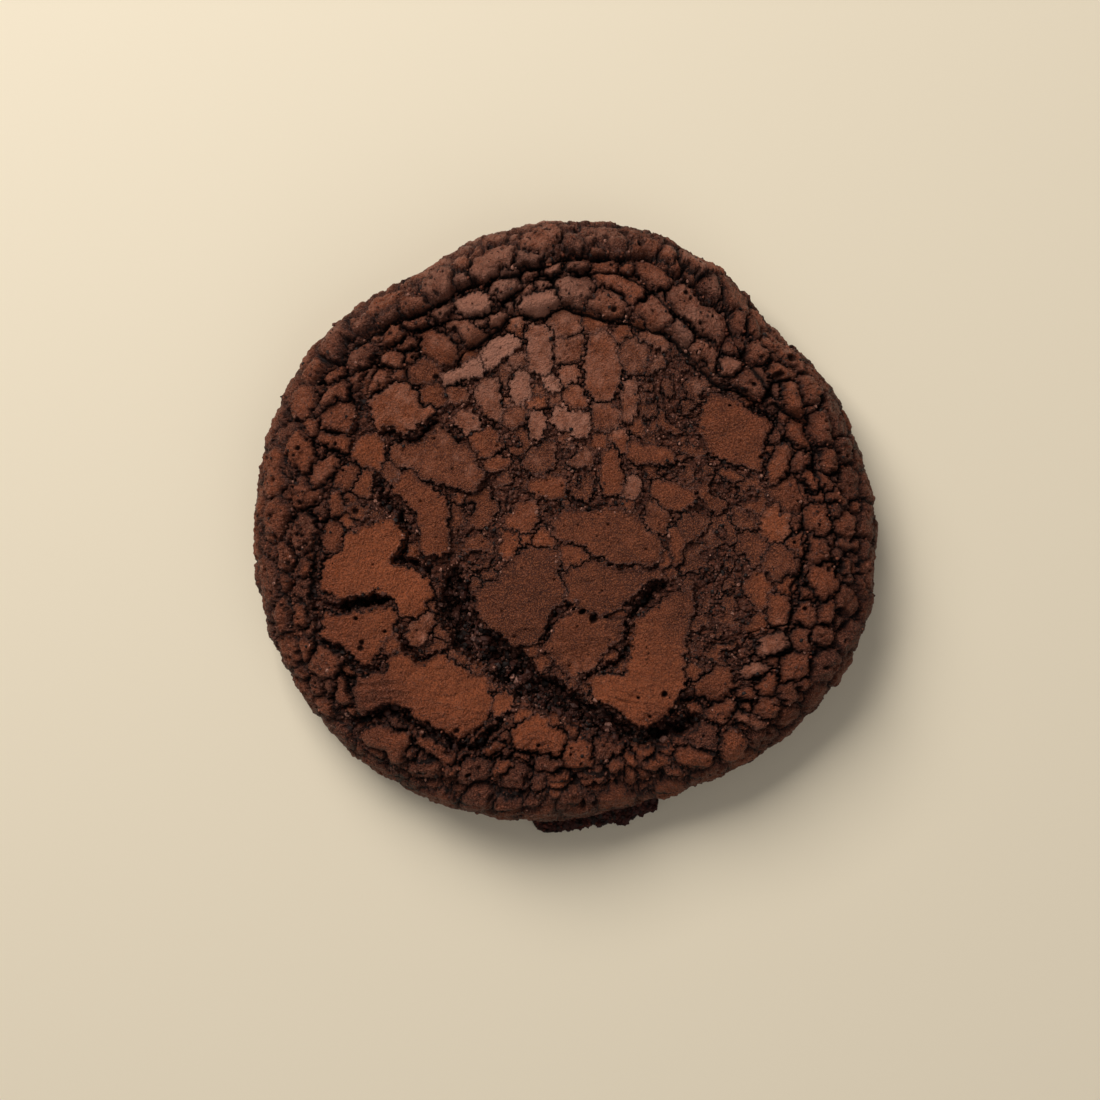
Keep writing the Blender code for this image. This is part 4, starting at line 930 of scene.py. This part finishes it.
def shapeQuarter(piece, places, relief, fields):
    mesh = piece.data
    mesh.vertices.foreach_set("co", (places * mm).ravel())
    for name, values in fields.items():
        mesh.attributes.new(name, "FLOAT", "POINT").data.foreach_set("value", values.astype(np.float32))

    # each quad is split along its lower diagonal, so that valleys stay open
    corners = np.zeros(len(mesh.loops), int)
    edges = np.zeros(len(mesh.loops), int)
    mesh.loops.foreach_get("vertex_index", corners)
    mesh.loops.foreach_get("edge_index", edges)
    corners, edges = corners.reshape(-1, 4), edges.reshape(-1, 4)
    low = relief[corners]
    turn = low[:, 1] + low[:, 3] < low[:, 0] + low[:, 2]
    corners[turn] = np.roll(corners[turn], -1, axis=1)
    edges[turn] = np.roll(edges[turn], -1, axis=1)
    mesh.loops.foreach_set("vertex_index", corners.ravel())
    mesh.loops.foreach_set("edge_index", edges.ravel())
    mesh.update()

    bpy.ops.object.select_all(action="DESELECT")
    piece.select_set(True)
    bpy.context.view_layer.objects.active = piece
    bpy.ops.object.mode_set(mode="EDIT")
    bpy.ops.mesh.select_mode(type="FACE")
    bpy.ops.mesh.select_all(action="SELECT")
    bpy.ops.mesh.quads_convert_to_tris(quad_method="FIXED")
    bpy.ops.mesh.remove_doubles(threshold=1e-7)
    bpy.ops.mesh.select_all(action="DESELECT")
    bpy.ops.mesh.select_mode(type="EDGE")
    bpy.ops.mesh.select_non_manifold(extend=False)
    bpy.ops.mesh.edge_face_add()
    bpy.ops.mesh.quads_convert_to_tris(ngon_method="BEAUTY")
    bpy.ops.mesh.select_all(action="SELECT")
    bpy.ops.mesh.normals_make_consistent(inside=False)
    bpy.ops.object.mode_set(mode="OBJECT")
    bpy.ops.object.shade_smooth()

    # the wall along a seam doesn't round off the crust beside it
    seam = np.zeros(len(mesh.vertices), np.float32)
    mesh.attributes["seam"].data.foreach_get("value", seam)
    ends = np.zeros(len(mesh.edges) * 2, int)
    mesh.edges.foreach_get("vertices", ends)
    sharp = (seam[ends.reshape(-1, 2)] > 0.5).all(1)
    mesh.attributes.new("sharp_edge", "BOOLEAN", "EDGE").data.foreach_set("value", sharp)
    print("crust: triangles", len(mesh.polygons))


class Wire:
    # a socket of a material; sums and products of values add Math nodes
    def __init__(self, tree, socket=None):
        self.tree, self.socket = tree, socket

    def node(self, kind, settings, inputs, output=0):
        made = self.tree.nodes.new("ShaderNode" + kind)
        for name, value in settings.items():
            setattr(made, name, value)
        for name, value in inputs.items():
            if isinstance(value, Wire):
                self.tree.links.new(value.socket, made.inputs[name])
            else:
                made.inputs[name].default_value = value
        return Wire(self.tree, made.outputs[output])

    def maths(self, operation, *values):
        return self.node("Math", {"operation": operation}, dict(enumerate(values)))

    def __add__(self, other):
        return self.maths("ADD", self, other)

    def __radd__(self, other):
        return self.maths("ADD", other, self)

    def __sub__(self, other):
        return self.maths("SUBTRACT", self, other)

    def __rsub__(self, other):
        return self.maths("SUBTRACT", other, self)

    def __mul__(self, other):
        return self.maths("MULTIPLY", self, other)

    def __rmul__(self, other):
        return self.maths("MULTIPLY", other, self)

    def __or__(self, other):
        return self.maths("MAXIMUM", self, other)


def step(value, low, high):
    # 0 up to the low value, 1 from the high one, and a soft rise between them
    return value.node("MapRange", {"interpolation_type": "SMOOTHSTEP"},
                      {"Value": value, "From Min": low, "From Max": high, "To Min": 0.0, "To Max": 1.0})


def blend(share, first, second):
    # the colour sockets of a Mix node have these numbers
    return share.node("Mix", {"data_type": "RGBA"}, {0: share, 6: first, 7: second}, 2)


def linear(colour):
    # a colour as seen on a screen, from 0 to 255, as light
    shares = [c / 255 for c in colour]
    return (*(((s + 0.055) / 1.055) ** 2.4 if s > 0.04 else s / 12.92 for s in shares), 1.0)


def newMaterial(name, specular=0.5):
    material = bpy.data.materials.new(name)
    material.use_nodes = True
    tree = material.node_tree
    shader = tree.nodes["Principled BSDF"]
    shader.inputs["Specular IOR Level"].default_value = specular
    return material, Wire(tree), shader


def feed(wire, shader, name, value):
    wire.tree.links.new(value.socket, shader.inputs[name])


# Colours of the crust as seen on a screen. Pairs run from dark to light.
cocoa = {
    "brown": ((54, 20, 8), (141, 71, 38)),
    "speckles": (40, 14, 7),
    "stains": (54, 21, 11),
    "powder": ((158, 92, 58), (170, 104, 80)),  # on smooth plates, and on the rim and rough crust
    "paleAndSheen": (168, 120, 102),
    "crumb": ((44, 16, 9), (120, 67, 49)),
    "paleGrains": (156, 112, 92),
    "darkGrains": (22, 6, 3),
    "shadeBetweenBits": (22, 6, 4),
    "rimShade": (32, 11, 6),
    "cracks": (15, 3, 2),
    "fudge": ((16, 4, 3), (74, 36, 26)),
    "fudgeGlints": (120, 90, 80),
    "foot": (44, 14, 9),
}


def crustMaterial():
    material, wire, shader = newMaterial("cocoaCrust", 0.23)
    coordinates = wire.node("TexCoord", {}, {}, 3)
    place = wire.node("VectorMath", {"operation": "SCALE"}, {0: coordinates, "Scale": 1 / mm})

    def field(name):
        return wire.node("Attribute", {"attribute_name": name}, {}, 2)

    def clouds(size, detail, rough=0.7):
        return wire.node("TexNoise", {}, {"Vector": place, "Scale": 1.0 / size, "Detail": detail,
                                         "Roughness": rough})

    crack, tone, pale, opened = field("crack"), field("tone"), field("pale"), field("open")
    rough, rim, foot, hollow = field("rough"), field("rim"), field("foot"), field("hollow")
    dome, cell, skin = field("dome"), field("cell"), field("edge")
    dust, speckle, grit, fine = clouds(0.22, 2.0), clouds(0.3, 2.0), clouds(0.5, 3.0), clouds(1.0, 4.0)
    mottle, drift = clouds(2.4, 3.0, 0.6), clouds(9.0, 2.0, 0.6)
    jag = (fine - 0.5) * 1.8 + (grit - 0.5) * 1.2

    # smooth crust: brown to orange brown, mottled, with fine dark speckles, and lighter on the rounded back
    # of each piece as painted light
    warmthAndLitBacks = step(tone * 0.8 + mottle * 0.6 + drift * 0.4 + dome * 0.5 + fine * 0.4 - 1.18, 0.0, 0.95)
    brown = blend(warmthAndLitBacks, *map(linear, cocoa["brown"]))
    brown = blend(step(speckle, 0.42, 0.62) * 0.6, brown, linear(cocoa["speckles"]))
    brown = blend(step(fine, 0.5, 0.68) * 0.3, brown, linear(cocoa["stains"]))
    powder = blend(rim | rough, *map(linear, cocoa["powder"]))
    brown = blend(step(dust, 0.46, 0.64) * 0.5, brown, powder)
    # pale: partly the crust's own pinkish paleness and partly painted sheen
    paleAndSheen = step(pale + (mottle - 0.5) * 1.2 + (fine - 0.5) * 0.8 - 0.1, 0.0, 0.9)
    brown = blend(paleAndSheen * 0.62, brown, linear(cocoa["paleAndSheen"]))

    # crumbled crust: dark, with pale grains, and painted shade in the gaps between its bits
    crumb = blend(step(fine + mottle * 0.5, 0.55, 0.9), *map(linear, cocoa["crumb"]))
    crumb = blend(step(grit, 0.54, 0.68) * 0.6, crumb, linear(cocoa["paleGrains"]))
    crumb = blend(step(speckle, 0.5, 0.66) * 0.5, crumb, linear(cocoa["darkGrains"]))
    crumb = blend((1.0 - cell) * 0.4, crumb, linear(cocoa["shadeBetweenBits"]))
    colour = blend(step(rough + jag * 0.6, 0.2, 0.65) * 0.85, brown, crumb)

    # towards its edges a piece is crumbly as well
    edgeShare = 1.0 - step(skin + jag * 0.4, 0.0, 0.4)
    colour = blend(edgeShare * 0.5, colour, crumb)
    # painted shade in the low places between the rounded pebbles of the rim
    colour = blend(rim * (1.0 - dome) * 0.6, colour, linear(cocoa["rimShade"]))

    # cracks and pits are close to black, partly as dark fudge and partly as painted shade; the crevices are
    # dark fudge with a few painted glints
    dark = (1.0 - step(crack + jag * 0.7, 0.2, 1.1)) | step(hollow + (grit - 0.5) * 0.5, 0.15, 0.5) * 0.8
    colour = blend(dark * 0.95, colour, linear(cocoa["cracks"]))
    inside = step(opened, 0.3, 0.9)
    fudge = blend(step(fine, 0.42, 0.62), *map(linear, cocoa["fudge"]))
    # painted glints on the wet fudge
    fudge = blend(step(grit, 0.6, 0.7) * 0.5, fudge, linear(cocoa["fudgeGlints"]))
    colour = blend(inside, colour, fudge)
    colour = blend(step(foot, 0.05, 0.4) * 0.8, colour, linear(cocoa["foot"]))
    feed(wire, shader, "Base Color", colour)
    feed(wire, shader, "Roughness", 0.52 - 0.2 * inside + (speckle - 0.5) * 0.3)

    coarse = rough | (rim * 0.7) | edgeShare
    height = grit * 0.42 + speckle * 0.2 + fine * 0.25 + inside * fine * 0.6
    height = height + (fine * 0.5 + grit * 0.4) * coarse
    feed(wire, shader, "Normal", wire.node("Bump", {}, {"Strength": 1.0, "Distance": mm, "Height": height}))
    return material


def finishPiece(piece, material):
    piece.data.materials.clear()
    piece.data.materials.append(material)
    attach(piece, "root")
    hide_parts("cookie")
    print(piece.name + ": finished, triangles", len(piece.data.polygons))


# Crumbs: how many, their half size from and to, how deep they sit as a share of it, the seed, and
# their finish with its dark, middle and light colours.
crumbs = {
    "brokenCrumbs": {"count": 9000, "size": (0.13, 0.42), "sunk": 0.25, "seed": 21, "finish": "paleCrumb",
                     "colours": ((18, 8, 6), (78, 44, 33), (148, 104, 88))},
    "rimCrumbs": {"count": 4000, "size": (0.12, 0.35), "sunk": 0.45, "seed": 22, "finish": "rimCrumb",
                  "colours": ((40, 18, 12), (92, 46, 30), (128, 76, 56))},
    "trenchCrumbs": {"count": 2200, "size": (0.2, 0.85), "sunk": 0.1, "seed": 24, "finish": "trenchCrumb",
                     "colours": ((16, 6, 4), (54, 24, 16), (128, 90, 78))},
    "footCrumbs": {"count": 2600, "size": (0.2, 0.7), "sunk": 0.3, "seed": 23, "finish": "darkCrumb",
                   "colours": ((20, 6, 4), (52, 17, 11), (84, 34, 22))},
}
crumbShape = {
    "small": 2.5,  # the higher, the more of them are small
    "corners": (0.75, 1.25),
    "squash": (0.6, 1.2),
    "scatter": 0.17,
    "inset": 0.02,  # they keep this far inside the part's box
}


def crumbShares(surface):
    onTop = 1.0 - smooth(0.2, 0.6, surface["down"])
    edge = np.exp(-((surface["edge"] / 0.3) ** 2)) * (1.0 - 0.6 * surface["rim"])
    fudge = smooth(0.2, 0.8, surface["open"])
    broken = (surface["rough"] * (1.0 - 0.5 * surface["rim"]) + 0.3 * edge + 0.15 * fudge) * onTop
    bare = 1.0 - smooth(0.4, 0.8, surface["edge"]) * surface["plate"]
    rim = surface["rim"] * bare * (1.0 - smooth(0.3, 0.55, surface["down"])) * (1.0 - fudge)
    foot = smooth(0.15, 0.6, surface["foot"])
    return {"brokenCrumbs": broken, "rimCrumbs": rim, "trenchCrumbs": fudge * onTop, "footCrumbs": foot}


def makeCrumbs(name, share, surface):
    settings = crumbs[name]
    count = settings["count"]
    draw = np.random.default_rng(settings["seed"])
    bpy.ops.mesh.primitive_ico_sphere_add(subdivisions=1, radius=1.0)
    ball = bpy.context.object
    corners = np.array([tuple(vertex.co) for vertex in ball.data.vertices])
    faces = np.array([tuple(face.vertices) for face in ball.data.polygons])
    bpy.data.objects.remove(ball)
    chosen = draw.choice(len(share), count, p=share / share.sum())
    low, high = settings["size"]
    size = low + (high - low) * draw.random(count) ** crumbShape["small"]
    shape = corners[None] * draw.uniform(*crumbShape["corners"], (count, len(corners), 1))
    shape = shape * draw.uniform(*crumbShape["squash"], (count, 1, 3))
    turn = draw.normal(size=(count, 4))
    turn /= np.linalg.norm(turn, axis=1)[:, None]
    w, x, y, z = turn.T
    rotation = np.array([
        [1 - 2 * (y * y + z * z), 2 * (x * y - z * w), 2 * (x * z + y * w)],
        [2 * (x * y + z * w), 1 - 2 * (x * x + z * z), 2 * (y * z - x * w)],
        [2 * (x * z - y * w), 2 * (y * z + x * w), 1 - 2 * (x * x + y * y)],
    ]).transpose(2, 0, 1)
    shape = np.einsum("nij,nkj->nki", rotation, shape)
    scatter, inset = crumbShape["scatter"], crumbShape["inset"]
    middle = surface["places"][chosen] + draw.uniform(-scatter, scatter, (count, 3))
    middle -= surface["normals"][chosen] * (settings["sunk"] * size)[:, None]
    places = np.clip(middle[:, None] + shape * size[:, None, None], boxLow + inset, boxHigh - inset)
    mesh = bpy.data.meshes.new(name)
    allFaces = (faces[None] + (np.arange(count) * len(corners))[:, None, None]).reshape(-1, 3)
    mesh.from_pydata((places.reshape(-1, 3) * mm).tolist(), [], allFaces.tolist())
    values = np.repeat(draw.random(count), len(corners)).astype(np.float32)
    mesh.attributes.new("shade", "FLOAT", "POINT").data.foreach_set("value", values)
    piece = bpy.data.objects.new(name, mesh)
    bpy.context.scene.collection.objects.link(piece)
    return piece


def crumbMaterial(finish, colours):
    material, wire, shader = newMaterial(finish, 0.25)
    dark, middle, light = map(linear, colours)
    shade = wire.node("Attribute", {"attribute_name": "shade"}, {}, 2)
    place = wire.node("TexCoord", {}, {}, 3)
    grain = wire.node("TexNoise", {}, {"Vector": place, "Scale": 3000.0, "Detail": 2.0})
    ramp = shade * 0.9 + (grain - 0.5) * 0.6
    colour = blend(step(ramp, 0.1, 0.5), dark, middle)
    colour = blend(step(ramp, 0.72, 0.95), colour, light)
    feed(wire, shader, "Base Color", colour)
    feed(wire, shader, "Roughness", 0.75 - 0.2 * grain)
    return material


quarters, surface = makeCrust()
cocoaCrust = crustMaterial()
for piece in quarters:
    finishPiece(piece, cocoaCrust)
for name, share in crumbShares(surface).items():
    material = crumbMaterial(crumbs[name]["finish"], crumbs[name]["colours"])
    finishPiece(makeCrumbs(name, share, surface), material)


# Lamps: place, size, watts and tint. The camera looks straight down.
studio = {
    "window": ((-0.36, 0.58, 0.63), 0.56, 10.0, (1.0, 0.95, 0.89)),
    "fill": ((0.35, -0.5, 0.75), 0.9, 1.7, (1.0, 0.96, 0.94)),
    "sky": ((1.0, 0.97, 0.92, 1.0), 0.16),
    "floorSize": 4.0,
    "floorColour": (226, 216, 194),
    "floorRoughness": 0.6,
    "cameraPlace": (-2.64, -3.52, 420.0),
    "sensor": 36.0,
    "frameWidth": 184.3,  # what the picture shows from side to side
    "frameHeight": 9.0,  # at this height above the floor
}


def makeFloor():
    bpy.ops.mesh.primitive_plane_add(size=studio["floorSize"])
    floor = bpy.context.object
    floor.name = "paleFloor"
    material, _, shader = newMaterial("paleCeramic")
    shader.inputs["Base Color"].default_value = linear(studio["floorColour"])
    shader.inputs["Roughness"].default_value = studio["floorRoughness"]
    floor.data.materials.append(material)


def makeLights():
    for name in ("window", "fill"):
        place, size, power, tint = studio[name]
        bpy.ops.object.light_add(type="AREA", location=place)
        lamp = bpy.context.object
        lamp.name = name
        lamp.data.shape = "SQUARE"
        lamp.data.size = size
        lamp.data.energy = power
        lamp.data.color = tint
        lamp.rotation_euler = Vector(place).to_track_quat("Z", "Y").to_euler()
    world = bpy.data.worlds.new("room")
    world.use_nodes = True
    background = world.node_tree.nodes["Background"].inputs
    background["Color"].default_value, background["Strength"].default_value = studio["sky"]
    bpy.context.scene.world = world
    bpy.context.scene.view_settings.view_transform = "Standard"


def makeCamera():
    place, sensor = studio["cameraPlace"], studio["sensor"]
    bpy.ops.object.camera_add(location=[value * mm for value in place], rotation=(0.0, 0.0, 0.0))
    camera = bpy.context.object
    camera.data.sensor_width = sensor
    camera.data.lens = sensor * (place[2] - studio["frameHeight"]) / studio["frameWidth"]
    camera.data.clip_start = 0.01
    bpy.context.scene.camera = camera


makeFloor()
makeLights()
makeCamera()
print("studio: finished")
